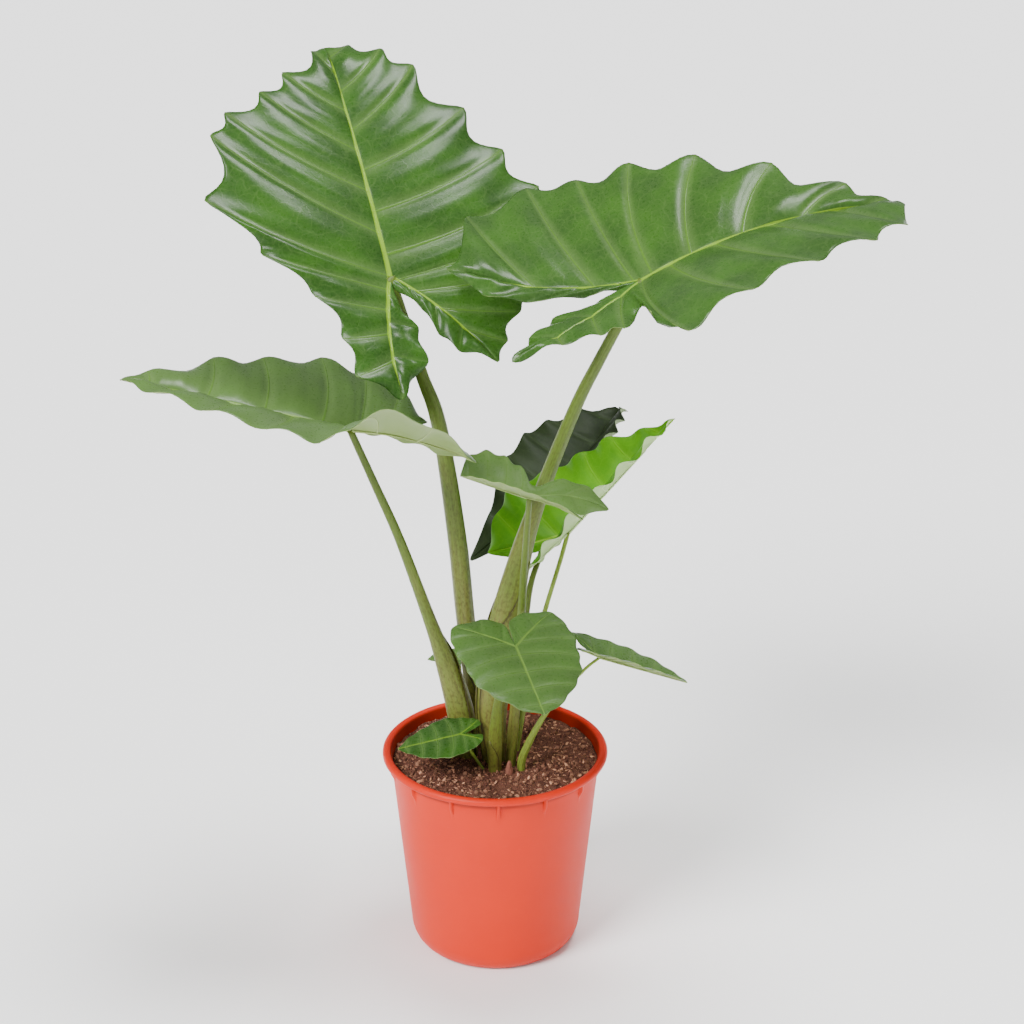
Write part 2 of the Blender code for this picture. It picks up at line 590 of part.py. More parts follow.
def tube(route, start_plane, end_plane):
    """A closed tube of oval rings; its ends are cut by the planes (point, normal), where they are given."""
    rings = []
    for i, station in enumerate(route):
        tangent = route[min(i + 1, len(route) - 1)][:3] - route[max(i - 1, 0)][:3]
        tangent = tangent / np.linalg.norm(tangent)
        deep = np.cross(tangent, (1.0, 0.0, 0.0))
        deep = deep / np.linalg.norm(deep)
        wide = np.cross(deep, tangent)
        plane = start_plane if i == 0 else end_plane if i == len(route) - 1 else None
        ring = []
        for n in range(STALK_SIDES):
            a = 2 * math.pi * n / STALK_SIDES
            p = station[:3] + wide * math.cos(a) * station[3] + deep * math.sin(a) * station[4]
            if plane is not None:
                point, normal = plane
                p = p + tangent * (np.dot(point - p, normal) / np.dot(tangent, normal))
            ring.append(p)
        rings.append(ring)
    points = [p for ring in rings for p in ring]
    n = STALK_SIDES
    faces = [[i * n + j, i * n + (j + 1) % n, (i + 1) * n + (j + 1) % n, (i + 1) * n + j]
             for i in range(len(rings) - 1) for j in range(n)]
    faces.append(list(reversed(range(n))))
    faces.append([(len(rings) - 1) * n + j for j in range(n)])
    return points, outward(points, faces)


def outward(points, faces):
    """The faces, turned if need be so that the solid has a positive volume."""
    volume = 0.0
    for face in faces:
        for n in range(1, len(face) - 1):
            volume += np.dot(points[face[0]], np.cross(points[face[n]], points[face[n + 1]]))
    return faces if volume > 0 else [list(reversed(face)) for face in faces]


def over_soil(stations):
    return [(x, y, SOIL_LEVEL + TOUCH_GAP + height, wide, deep) for x, y, height, wide, deep in stations]


def soil_plane():
    return np.array((0.0, 0.0, SOIL_LEVEL + TOUCH_GAP)), np.array((0.0, 0.0, 1.0))


def make_stalk(key, material):
    """A stalk from the soil to just under its blade, with the sheath that widens its lower part."""
    leaf = LEAVES[key]
    up = leaf_axes(leaf)[2]
    top = joint_point(leaf) - up * (BLADE_THICKNESS / 2 + 2 * TOUCH_GAP)
    stations = over_soil(STALKS[key]) + [(*top, STALK_TOPS[key], STALK_TOPS[key])]
    points, faces = tube(smooth_route(stations, STALK_STEP), soil_plane(), (top, up))
    return make_object(f"stalk_{key}", points, faces, material, 50)


def make_stub(material):
    points, faces = tube(smooth_route(over_soil(STUB), 0.006), soil_plane(), None)
    return make_object("old_stub", points, faces, material, 50)


def main():
    clear_scene()
    make_pot()
    make_soil()
    green = (0.10, 0.24, 0.05)
    for key in LEAVES:
        make_blade(key, make_material(f"blade_{key}", green, 0.35))
        make_stalk(key, make_material(f"stalk_{key}", (0.28, 0.36, 0.12), 0.45))
    make_stub(make_material("old_stub", (0.35, 0.16, 0.08), 0.8))


main()
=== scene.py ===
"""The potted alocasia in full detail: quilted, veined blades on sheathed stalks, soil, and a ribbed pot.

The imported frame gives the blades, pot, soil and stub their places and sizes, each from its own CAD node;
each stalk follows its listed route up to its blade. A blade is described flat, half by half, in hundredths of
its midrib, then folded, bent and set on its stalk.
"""
import json
import math

import bmesh
import bpy
import numpy as np
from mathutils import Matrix, Vector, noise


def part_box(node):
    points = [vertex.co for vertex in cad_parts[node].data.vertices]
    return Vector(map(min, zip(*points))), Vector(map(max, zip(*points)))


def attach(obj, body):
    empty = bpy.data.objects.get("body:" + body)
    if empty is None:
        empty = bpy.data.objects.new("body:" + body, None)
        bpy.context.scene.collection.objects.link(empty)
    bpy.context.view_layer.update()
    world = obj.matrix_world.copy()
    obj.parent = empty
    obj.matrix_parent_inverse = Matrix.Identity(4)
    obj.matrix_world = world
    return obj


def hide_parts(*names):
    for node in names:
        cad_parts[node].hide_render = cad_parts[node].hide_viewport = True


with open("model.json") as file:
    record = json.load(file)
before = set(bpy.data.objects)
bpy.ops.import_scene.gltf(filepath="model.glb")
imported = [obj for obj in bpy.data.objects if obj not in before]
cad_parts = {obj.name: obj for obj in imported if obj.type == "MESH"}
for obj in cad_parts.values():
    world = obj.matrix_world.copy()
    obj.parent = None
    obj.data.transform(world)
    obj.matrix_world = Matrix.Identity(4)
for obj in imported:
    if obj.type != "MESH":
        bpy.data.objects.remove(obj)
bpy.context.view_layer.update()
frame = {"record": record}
SOIL_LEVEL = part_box("soil")[1].z
POT_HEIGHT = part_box("pot")[1].z
RIM_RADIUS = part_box("pot")[1].x

# Pot
RIM_WIDTH = 0.0095
RIM_BAND = 0.009
ROLL_HALF_HEIGHT = 0.0042
RIM_OVERHANG = 0.0088
WALL = 0.0016
TOP_RADIUS = RIM_RADIUS - RIM_OVERHANG
TAPER = 0.10
BASE_ROUND = 0.024
FOOT_HEIGHT = 0.003
FOOT_RING_WIDTH = 0.006
BOSS_RADIUS = 0.020
PROFILE_HOLE = 0.0005
UNDERCUT_SLOPE = 0.001
RIB_COUNT = 14
RIB_WIDTH = 0.003
RIB_HEIGHT = 0.0105
RIB_FADE = 0.0015
RIB_DEPTH = 0.0036
RIB_START = -87.8
RIB_PITCH = 360 / RIB_COUNT
RIB_HALF_ANGLE = math.degrees(RIB_WIDTH / 2 / TOP_RADIUS)
NOTCH_COUNT = 6
NOTCH_START = -64.5
NOTCH_CUTTER = (0.018, 0.028, 0.0054)
DRAIN_COUNT = 8
DRAIN_RADIUS = 0.005
DRAIN_RING = 0.048

# Soil
SOIL_RINGS = 90
SOIL_SIDES = 240
CRUMB_COUNT = 2600
FIBRE_SHARE = 0.12
BARK_SHARE = 0.32

# Leaves
BLADE_THICKNESS = 0.0008
SHEATH_THICKNESS = 0.0008
ROWS_PER_VEIN = 10
ACROSS = np.array((0, 1.5, 3.5, 7, 12, 18, 25, 33, 41, 49, 57, 65, 73, 80, 86, 91, 95, 98, 100)) / 100
PLEAT = 0.024
PUCKER = 0.0011
BACK_ARCH = 0.04
STALK_SIDES = 40
ROUTE_STEP = 0.006
SUNK_IN_SOIL = 0.004

# The dried base of an old leaf
STUB_HALF_WIDTH = 0.0042
STUB_HALF_DEPTH = 0.0032
STUB_SIDES = 20

# What a leaf's entry leaves out, and what each of its halves leaves out
COMMON_LEAF = dict(roll=0, droop=0, tip_droop=0, tone=0.0, both={}, left={}, right={})
COMMON_HALF = dict(
    shift=0.5, dip=0.2, arch=0.10, front_cup=-5, back_cup=-5, lobe_droop=0, notches={}, gather=1.0,
    lobe_gather=1.3, quilt=0.085, wave=0.05,
    front=[(58, 20), (52, 42), (40, 64), (22, 84)],
    back=[(56, -4), (48, -26)], rib=(30, -44), rib_arch=0.04,
    inner=[(13, -34), (6, -20)], front_fold=8, back_fold=8,
)

# One entry per leaf. tone is how pale and bluish its upper face is, from deep green to a dusty light green.
LEAVES = {
    # the tall leaf at the upper left, its upper face to the front
    "1": dict(
        heading=110, rise=47, midrib=0.301, droop=10, tip_droop=40, sinus=0.012,
        both=dict(dip=0.3, rib_arch=-0.10),
        left=dict(
            shift=0.0, front_cup=-12,
            front=[(57, 34), (50, 59), (43, 68), (29, 76), (19, 84), (5, 97)],
            back=[(42, 11), (28, -6), (22, -22), (20, -36)], rib=(6, -42),
            inner=[(-6, -33), (-5.5, -20), (-1, -11)],
        ),
        right=dict(
            front=[(59, 26), (50, 42), (41, 61), (28, 82), (19, 92), (8.5, 99)],
            back=[(60, 9), (57, -6), (41, -20), (34, -30)], rib=(27, -34),
            inner=[(17, -31), (11.5, -23.5), (7.5, -12.5)],
        ),
    ),
    # the wide leaf at the upper right
    "2": dict(
        heading=4, rise=31, roll=14, midrib=0.269, droop=35, tone=0.08, sinus=0.012,
        both=dict(dip=0.28, back_fold=14, gather=1.35),
        left=dict(
            front_fold=14, lobe_droop=-65, lobe_gather=1.6,
            front=[(60, 15), (49, 37), (32, 60), (14, 82), (5, 94)],
            back=[(66, -5), (73, -27), (60, -57)], rib=(25, -65), rib_arch=-0.03,
            inner=[(13, -56), (8.5, -40), (4.5, -19)],
        ),
        right=dict(
            shift=0.0, front_fold=16, lobe_droop=-45, notches={5: 2.6},
            front=[(68, 7), (60, 30), (54, 53), (45, 74), (30, 90)],
            back=[(35, -13), (32, -22), (28, -36)], rib=(30, -52),
            inner=[(12, -46), (-1, -35), (0, -20)],
        ),
    ),
    # the leaf held out to the left
    "3": dict(
        heading=180, rise=13, roll=-4, midrib=0.235, tone=0.62, sinus=0.012,
        left=dict(
            shift=0.0, dip=0.15, front_fold=17, back_fold=40, lobe_droop=50,
            front=[(50, 10), (43, 34), (32, 60), (15, 84)],
        ),
        right=dict(
            front_fold=9, back_fold=9,
            front=[(56, 19), (44, 44), (34, 65), (12, 90)],
            back=[(50, -2), (42, -18)], rib=(18, -30), inner=[(11, -25), (5, -16)],
        ),
    ),
    # the mid leaf, folded along its midrib
    "4": dict(
        heading=168, rise=14, midrib=0.073, tone=0.8, sinus=0.003,
        both=dict(lobe_droop=26),
        left=dict(
            dip=0.16, front_fold=35, back_fold=35,
            front=[(44, 20), (42, 44), (32, 68), (16, 88)],
            back=[(44, -6), (42, -32)], rib=(34, -70), rib_arch=-0.06,
            inner=[(16, -48), (7, -22)],
        ),
        right=dict(
            dip=0.18, front_fold=38, back_fold=38, notches={4: 3.0}, rib_arch=-0.10,
            front=[(44, 26), (53, 52), (52, 80), (34, 100)],
            back=[(48, -30), (56, -62)], rib=(42, -90), inner=[(10, -72), (3, -32)],
        ),
    ),
    # the young bright leaf on the right
    "5": dict(
        heading=10, rise=47, roll=15, midrib=0.167, sinus=0.008,
        both=dict(dip=0.10, wave=0.15),
        left=dict(front_fold=15, back_fold=25, front=[(46, 20), (36, 42), (28, 62), (10, 84)]),
        right=dict(
            front_fold=48, back_fold=47, front=[(38, 20), (32, 42), (24, 62), (9, 84)],
            back=[(36, -4), (32, -26)], rib=(28, -46),
        ),
    ),
    # the leaf behind it, darkened by the painted shade of its dark skins
    "6": dict(
        heading=60, rise=20, roll=10, midrib=0.176, tone=0.1, sinus=0.008,
        both=dict(dip=0.08, wave=0.15, front=[(42, 18), (42, 42), (34, 62), (20, 84)]),
        left=dict(
            front_fold=15, back_fold=15, lobe_droop=85,
            back=[(38, -4), (31, -26)], rib=(28, -50), inner=[(13, -38), (6, -20)],
        ),
        right=dict(front_fold=60, back_fold=50, lobe_droop=30),
    ),
    # the low heart-shaped leaf at the front
    "7": dict(
        heading=-72, rise=-20, midrib=0.096, tone=0.5, sinus=0.006,
        both=dict(dip=0.09, front_fold=5, back_fold=5, front=[(62, 28), (58, 48), (45, 68), (25, 88)]),
        left=dict(back=[(66, 2), (62, -22)], rib=(48, -38), inner=[(24, -46), (4, -38)]),
        right=dict(back=[(66, 2), (66, -22)], rib=(54, -36), inner=[(26, -45), (4, -36)]),
    ),
    # the small narrow leaf on the right
    "8": dict(
        heading=0, rise=-18, midrib=0.096, tone=0.5, sinus=0.006,
        both=dict(
            dip=0.06, front=[(42, 15), (38, 40), (28, 65), (12, 88)],
            back=[(42, -10)], rib=(34, -30), inner=[(12, -20)],
        ),
        left=dict(front_fold=5, back_fold=5),
        right=dict(front_fold=30, back_fold=28),
    ),
    # the small leaf just over the soil
    "9": dict(
        heading=186, rise=-12, roll=-10, midrib=0.067, sinus=0.004,
        both=dict(
            dip=0.06, front_fold=0, back_fold=0, front=[(50, 20), (44, 42), (34, 64), (18, 84)],
            back=[(44, -4), (36, -22)], rib=(24, -30),
        ),
    ),
    # the seedling-sized leaf behind stalk 3
    "10": dict(
        heading=180, rise=0, midrib=0.035, tone=0.4, sinus=0.003,
        both=dict(dip=0.06, front_fold=15, back_fold=15),
    ),
}
LEAVES = {key: {**COMMON_LEAF, **leaf} for key, leaf in LEAVES.items()}

# One route per stalk in mm, from the soil up: (x, y, height over the soil, half width, half depth). The last
# point, the leaf's joint, is left out here, and STALK_TOPS gives the radius there.
STALKS = {
    "1": [(-10, 26, 0, 10, 9), (-22, 30, 60, 9.8, 9),
          (-31, 28, 150, 10, 9.5), (-39.1, 26, 242, 9.8, 9.5),
          (-56.5, 34, 363, 8, 8), (-75.1, 45, 418, 6.5, 6.5)],
    "2": [(-1, -11, 0, 11.5, 8.5), (-3, -10, 70, 16.5, 11),
          (10, -9, 150, 18.5, 11), (25, -7, 228, 12, 9.5),
          (45, -5, 297, 8, 8), (80, -12, 396, 6.5, 6.5),
          (104.1, -25, 453.7, 5.8, 5.8)],
    "3": [(-31, 0, 0, 12.5, 10), (-37, 0, 53, 13.8, 10.5),
          (-50, 0, 105, 11, 9.5), (-66, 0, 155, 7, 7),
          (-97, 0, 250, 5, 5), (-121, 0, 311, 4.2, 4.2)],
    "4": [(16, -21, 0, 5.8, 5.5), (22, -27, 85, 5.2, 5),
          (27.5, -29, 180, 4.2, 4), (31.5, -40, 255, 3.4, 3.4)],
    "5": [(21, 10, 0, 4, 4), (37, 26, 89, 3.4, 3.4),
          (52, 45, 146, 2.6, 2.6), (69, 68, 197, 2.4, 2.4)],
    "6": [(14, 24, 0, 4.2, 4.2), (29, 66, 93.5, 3.8, 3.8),
          (37.4, 105, 149.2, 3.4, 3.4), (49.9, 140, 177.2, 3, 3)],
    "7": [(0, -30, 0, 7, 5.5), (0, -40, 38, 7.5, 5.5),
          (6, -63, 112, 3.4, 3.4)],
    "8": [(27, -30, 0, 4.2, 3.8), (31, -32, 22, 4.2, 3.8),
          (54, -34, 70, 2.6, 2.6), (90, -32, 115, 1.7, 1.7)],
    "9": [(-10, -28.5, 0, 1.8, 1.8), (-23, -32, 19, 1.6, 1.6)],
    "10": [(-28, 24, 0, 1.8, 1.8), (-36, 50, 60, 1.3, 1.3)],
}
STALK_TOPS = {"1": 5.5, "2": 4.8, "3": 3.6, "4": 2.8, "5": 2.4, "6": 2.8, "7": 2.6,
              "8": 1.5, "9": 1.4, "10": 1.1}

# (first angle, last angle, height over the soil, flare) of each sheath's free margins
SHEATHS = {
    "1": [(-150, -60, 0.12, 0.001)],
    "2": [(-30, -140, 0.24, 0.002), (150, 205, 0.20, 0.003)],
    "3": [(60, -50, 0.155, 0.003)],
    "7": [(-140, -50, 0.05, 0.001)],
}


def mix(a, b, q):
    return a + (b - a) * q


def ease(q):
    q = np.clip(q, 0.0, 1.0)
    return q * q * (3 - 2 * q)


def curve_point(points, k, q):
    """A point on the smooth curve through the given points, a share q on from point k."""
    p1, p2 = points[k], points[k + 1]
    p0 = points[k - 1] if k > 0 else 2 * p1 - p2
    p3 = points[k + 2] if k + 2 < len(points) else 2 * p2 - p1
    cubic = (3 * p1 - p0 - 3 * p2 + p3) * q ** 3
    return 0.5 * (2 * p1 + (p2 - p0) * q + (2 * p0 - 5 * p1 + 4 * p2 - p3) * q * q + cubic)


# ---- leaf geometry

def half_of(leaf, name):
    """One half's entry, with its outline in metres."""
    half = {**COMMON_HALF, **leaf["both"], **leaf[name]}
    for key in ("front", "back", "rib", "inner"):
        half[key] = np.array(half[key]) / 100 * leaf["midrib"]
    return half


def rib_point(half, s):
    """A point on the basal rib, a slight curve from the joint to the lobe's tip; s runs from 0 to 1."""
    end = half["rib"]
    control = end * 0.5 + np.array((end[1], -end[0])) * half["rib_arch"]
    return 2 * (1 - s) * s * control + s * s * end


def lobe_root(half, share):
    """Where a vein leaves the basal rib; the roots gather towards the joint."""
    return rib_point(half, share ** half["lobe_gather"])


def vein_list(leaf, half, step):
    """[(row, root, tip, arch)] of the side veins, from the leaf's tip round the lobe to the sinus."""
    n, m, length, shift = len(half["front"]), len(half["back"]), leaf["midrib"], half["shift"]
    front_rows = n * step
    rib_rows = int((m + 1 - shift) * step)
    found = [(0, np.array((0.0, length)), np.array((0.0, length)), 0.0)]
    for k in range(n - 1, -1, -1):
        root = np.array((0.0, length * ((k + shift) / n) ** half["gather"]))
        row = front_rows - int((k + shift) * step)
        found.append((row, root, half["front"][k], half["arch"]))
    for j in range(m):
        row = int((j + 1 - shift) * step)
        root = lobe_root(half, row / rib_rows)
        found.append((front_rows + row, root, half["back"][j], BACK_ARCH))
    end = rib_point(half, 1.0)
    found.append((front_rows + rib_rows, end, end + (end - rib_point(half, 0.8)) * 0.4, 0.0))
    count = len(half["inner"])
    for i in range(count):
        row = int(round(rib_rows * (i + 1) / (count + 1)))
        root = lobe_root(half, 1 - row / rib_rows)
        found.append((front_rows + rib_rows + row, root, half["inner"][i], 0.0))
    found.append((front_rows + 2 * rib_rows, np.zeros(2), np.array((0.0, -leaf["sinus"])), 0.0))
    return found, front_rows, rib_rows


def spine_point(leaf, half, row, front_rows, rib_rows):
    """Where a row starts: down the midrib to the joint, out along the basal rib and back."""
    if row <= front_rows:
        return np.array((0.0, leaf["midrib"] * ((front_rows - row) / front_rows) ** half["gather"]))
    out = row - front_rows
    return lobe_root(half, min(out, 2 * rib_rows - out) / rib_rows)


def flat_half(leaf, half, step, across):
    """Half a blade laid flat: points, quilting height, distances from side veins and midrib, and veins."""
    found, front_rows, rib_rows = vein_list(leaf, half, step)
    tips = [tip for _, _, tip, _ in found]
    last = len(found) - 1
    lobe_tip = 1 + len(half["front"]) + len(half["back"])
    t = across[:, None]
    rows, height, vein, rib = [], [], [], []
    for row in range(front_rows + 2 * rib_rows + 1):
        a = max(i for i in range(last) if found[i][0] <= row)
        q = (row - found[a][0]) / (found[a + 1][0] - found[a][0])
        root = spine_point(leaf, half, row, front_rows, rib_rows)
        end = curve_point(tips, a, q)
        span = np.linalg.norm(found[a + 1][2] - found[a][2])
        base = np.linalg.norm(found[a + 1][1] - found[a][1])
        reach = np.linalg.norm(end - root)
        dip = half["dip"] * half["notches"].get(a, 1.0) * span * math.sin(math.pi * q) ** 1.6
        dip *= 0.2 if a == 0 else 0.0 if a == last - 1 else 0.6 if a > len(half["front"]) else 1.0
        if reach > 1e-6:
            end = root + (end - root) * max(1 - dip / reach, 0.45)
        run = end - root
        control = root + run * 0.5 + np.array((run[1], -run[0])) * mix(found[a][3], found[a + 1][3], q)
        points = (1 - t) ** 2 * root + 2 * (1 - t) * t * control + t ** 2 * end
        rows.append(points)
        gap = mix(base, span, across)
        bulge = math.sin(math.pi * q) ** 0.75 * np.sin(math.pi * across ** 0.8) ** 0.7
        ruffle = math.sin(2 * math.pi * q) * across ** 3
        pleat = abs(math.sin(3 * math.pi * q)) * np.sin(math.pi * across ** 0.7)
        pucker = [noise.noise(Vector((x * 55, y * 55, 9.0 * leaf["midrib"]))) for x, y in points]
        relief = min(1.0, 0.3 + 3.0 * leaf["midrib"])
        quilting = half["quilt"] * bulge + half["wave"] * ruffle + PLEAT * pleat
        height.append(relief * quilting * gap + PUCKER * across * np.array(pucker))
        near = q if a >= lobe_tip else 1 - q if a == 0 else min(q, 1 - q)
        width = mix(0.0010, 0.0003, across) * (0.45 + 2.0 * leaf["midrib"])
        vein.append(near * gap / width + (6.0 if a > lobe_tip else 0.0))
        if row <= front_rows:
            distance, share = np.abs(points[:, 0]), row / front_rows
        else:
            out = min(row - front_rows, 2 * rib_rows - row + front_rows)
            distance, share = across * reach * 0.8, 0.7 - 0.5 * out / rib_rows
        rib.append(distance / (0.0009 + 0.0065 * leaf["midrib"] * share))
    return np.array(rows), np.array(height), np.array(vein), np.array(rib), found


def bend_half(leaf, half, side, flat):
    """The flat half folded at the midrib, curved across, drooped along, in the leaf's own frame."""
    x, y, length = flat[..., 0], flat[..., 1], leaf["midrib"]
    line = np.linspace(-1.2, 1.3, 1001) * length
    forward, back = np.clip(line / length, 0, None), np.clip(-line / length, 0, None)
    pitch = math.radians(half["lobe_droop"]) * back - math.radians(leaf["droop"]) * forward
    pitch = pitch - math.radians(leaf["tip_droop"]) * ease((forward - 0.8) / 0.25)
    step = line[1] - line[0]
    along, high = np.cumsum(np.cos(pitch)) * step, np.cumsum(np.sin(pitch)) * step
    py = np.interp(y, line, along) - np.interp(0.0, line, along)
    pz = np.interp(y, line, high) - np.interp(0.0, line, high)
    slope = np.interp(y, line, pitch)
    share = ease((y + 0.15 * length) / (0.3 * length))
    fold = np.radians(mix(half["back_fold"], half["front_fold"], share))
    cup = np.radians(mix(half["back_cup"], half["front_cup"], share)) / (0.6 * length)
    reach = np.abs(x)
    tilt = fold[..., None] + cup[..., None] * reach[..., None] * (np.arange(24) + 0.5) / 24
    out, up = np.cos(tilt).mean(-1) * reach, np.sin(tilt).mean(-1) * reach
    sideways = np.sign(x) * side * out
    return np.stack([sideways, py - np.sin(slope) * up, pz + np.cos(slope) * up], -1)


def leaf_axes(leaf):
    """The leaf's right, tip and up directions in the plant's frame."""
    h, e, r = (math.radians(leaf[key]) for key in ("heading", "rise", "roll"))
    tip = np.array((math.cos(e) * math.cos(h), math.cos(e) * math.sin(h), math.sin(e)))
    right = np.array((math.sin(h), -math.cos(h), 0.0))
    up = np.cross(right, tip)
    return right * math.cos(r) - up * math.sin(r), tip, up * math.cos(r) + right * math.sin(r)


def sheet_normals(points, faces):
    """Smooth normals of a mesh whose faces are triangles or quads."""
    normals = np.zeros_like(points)
    for size in (3, 4):
        ring = np.array([face for face in faces if len(face) == size])
        if len(ring) == 0:
            continue
        a, b, c, d = (points[ring[:, n]] for n in (0, 1, 2, -1))
        normal = np.cross(c - a, d - b) if size == 4 else np.cross(b - a, c - a)
        for n in range(size):
            np.add.at(normals, ring[:, n], normal)
    return normals / np.maximum(np.linalg.norm(normals, axis=1, keepdims=True), 1e-12)


def blade_sheet(leaf):
    """The blade as an open sheet: points, faces, per-point values, and the lines that ribs go under."""
    right, tip, up = leaf_axes(leaf)
    axes = np.array((right, tip, up))
    points, faces, known, values, lines = [], [], {}, [], []
    for side, name in ((-1, "left"), (1, "right")):
        half = half_of(leaf, name)
        flat, height, vein, rib, found = flat_half(leaf, half, ROWS_PER_VEIN, ACROSS)
        bent = bend_half(leaf, half, side, flat) @ axes
        index = np.zeros(flat.shape[:2], int)
        for i, j in np.ndindex(index.shape):
            key = (round(float(flat[i, j, 0]) * side, 7) + 0.0, round(float(flat[i, j, 1]), 7))
            if key not in known:
                known[key] = len(points)
                points.append(bent[i, j])
                values.append((flat[i, j, 0] * side, flat[i, j, 1], height[i, j], vein[i, j], rib[i, j]))
            index[i, j] = known[key]
        for i in range(index.shape[0] - 1):
            for j in range(index.shape[1] - 1):
                corners = [index[i, j], index[i, j + 1], index[i + 1, j + 1], index[i + 1, j]]
                if side > 0:
                    corners.reverse()
                face = [int(c) for n, c in enumerate(corners) if c != corners[n - 1]]
                if len(set(face)) > 2:
                    faces.append(face)
        front_rows = len(half["front"]) * ROWS_PER_VEIN
        rib_rows = int((len(half["back"]) + 1 - half["shift"]) * ROWS_PER_VEIN)
        thick = 0.0009 + 0.006 * leaf["midrib"]
        lobe_tip = 1 + len(half["front"]) + len(half["back"])
        lines += [(index[row], 0.36 * thick) for row, _, _, _ in found[1:lobe_tip + 1]]
        lines.append((index[front_rows:front_rows + rib_rows + 1, 0], 0.85 * thick))
        if side > 0:
            lines.append((index[:front_rows + 1, 0][::-1], 1.15 * thick))
    return np.array(points), faces, np.array(values), lines


def thick_sheet(points, normals, faces, thickness):
    """A closed skin round the sheet: the upper side first, then the underside and the edge."""
    uses = set()
    for face in faces:
        uses.update((face[n - 1], corner) for n, corner in enumerate(face))
    rim = [edge for edge in uses if (edge[1], edge[0]) not in uses]
    half = np.full((len(points), 1), thickness / 2)
    half[list({corner for edge in rim for corner in edge})] *= 0.5
    count = len(points)
    solid = [list(face) for face in faces]
    solid += [[corner + count for corner in reversed(face)] for face in faces]
    solid += [[b, a, a + count, b + count] for a, b in rim]
    return np.vstack([points + normals * half, points - normals * half]), solid


def under_rib(line, normals, radius, first):
    """A tapering rib half sunk into the blade's underside along a line of points."""
    sides = 8
    count = len(line)
    points, faces = [], []
    for i, p in enumerate(line):
        tangent = line[min(i + 1, count - 1)] - line[max(i - 1, 0)]
        tangent = tangent / max(np.linalg.norm(tangent), 1e-9)
        normal = normals[i]
        wide = np.cross(normal, tangent)
        r = radius * (1 - 0.85 * (i / (count - 1)) ** 1.2)
        centre = p - normal * (BLADE_THICKNESS / 2 + 0.1 * r)
        for n in range(sides):
            a = 2 * math.pi * n / sides
            points.append(centre + wide * math.cos(a) * r + normal * min(math.sin(a), 0.2) * r)
    for i in range(count - 1):
        for n in range(sides):
            m = (n + 1) % sides
            faces.append([first + i * sides + n, first + i * sides + m,
                          first + (i + 1) * sides + m, first + (i + 1) * sides + n])
    faces.append([first + n for n in reversed(range(sides))])
    faces.append([first + (count - 1) * sides + n for n in range(sides)])
    return points, faces


def make_mesh(name, points, faces, materials, values, indices=None):
    """A smooth mesh piece with a value of each kind per point; faces use the first material by default."""
    mesh = bpy.data.meshes.new(name)
    mesh.from_pydata([tuple(map(float, p)) for p in points], [], faces)
    for material in materials:
        mesh.materials.append(material)
    mesh.polygons.foreach_set("material_index", indices or [0] * len(faces))
    for key, data in values.items():
        data = np.asarray(data, np.float32)
        kind, field = ("FLOAT", "value") if data.ndim == 1 else ("FLOAT_VECTOR", "vector")
        mesh.attributes.new(key, kind, "POINT").data.foreach_set(field, data.ravel())
    mesh.shade_smooth()
    obj = bpy.data.objects.new(name, mesh)
    bpy.context.collection.objects.link(obj)
    return obj


def make_blade(key, upper, lower):
    """The blade, its box centred on its CAD node's. Returns where its joint is."""
    leaf = LEAVES[key]
    points, faces, values, lines = blade_sheet(leaf)
    low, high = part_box(f"blade_{key}")
    shift = np.array((low + high) / 2) - (points.min(0) + points.max(0)) / 2
    normals = sheet_normals(points, faces)
    points = points + normals * values[:, 2:3] + shift
    normals = sheet_normals(points, faces)
    solid, skin = thick_sheet(points, normals, faces, BLADE_THICKNESS)
    count = len(points)
    indices = [0] * len(faces) + [1] * (len(skin) - len(faces))
    flat = np.column_stack([values[:, :2], np.zeros(count)])
    flat, vein, rib = np.vstack([flat, flat]), np.tile(values[:, 3], 2), np.tile(values[:, 4], 2)
    extra_points, extra_faces = [], []
    for line, radius in lines:
        ends = [n for i, n in enumerate(line) if i == 0 or n != line[i - 1]]
        if len(ends) < 4:
            continue
        first = len(solid) + len(extra_points)
        ring_points, ring_faces = under_rib(points[ends], normals[ends], radius, first)
        extra_points += ring_points
        extra_faces += ring_faces
    added = len(extra_points)
    solid = np.vstack([solid, np.array(extra_points)])
    indices += [1] * len(extra_faces)
    data = {
        "flat": np.vstack([flat, np.zeros((added, 3))]),
        "vein": np.concatenate([vein, np.zeros(added)]),
        "rib": np.concatenate([rib, np.full(added, 0.5)]),
        "tone": np.full(len(flat) + added, leaf["tone"]),
        "faint": np.full(len(flat) + added, min(1.0, 0.35 + 3.0 * leaf["midrib"])),
    }
    obj = make_mesh(f"leaf_{key}", solid, skin + extra_faces, [upper, lower], data, indices)
    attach(obj, "root")
    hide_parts(f"blade_{key}")
    return shift


# ---- stalks

def smooth_route(stations, step):
    """Stations read from a smooth curve through the given ones, about a step apart."""
    given = np.array(stations, float)
    route = []
    for k in range(len(given) - 1):
        count = max(2, math.ceil(np.linalg.norm(given[k + 1][:3] - given[k][:3]) / step))
        route += [curve_point(given, k, n / count) for n in range(count)]
    route.append(given[-1])
    return np.array(route)


def section_axes(route, i):
    """The wide and deep directions square to the route at station i."""
    tangent = route[min(i + 1, len(route) - 1)][:3] - route[max(i - 1, 0)][:3]
    tangent = tangent / np.linalg.norm(tangent)
    deep = np.cross(tangent, (1.0, 0.0, 0.0))
    deep = deep / np.linalg.norm(deep)
    return np.cross(deep, tangent), deep


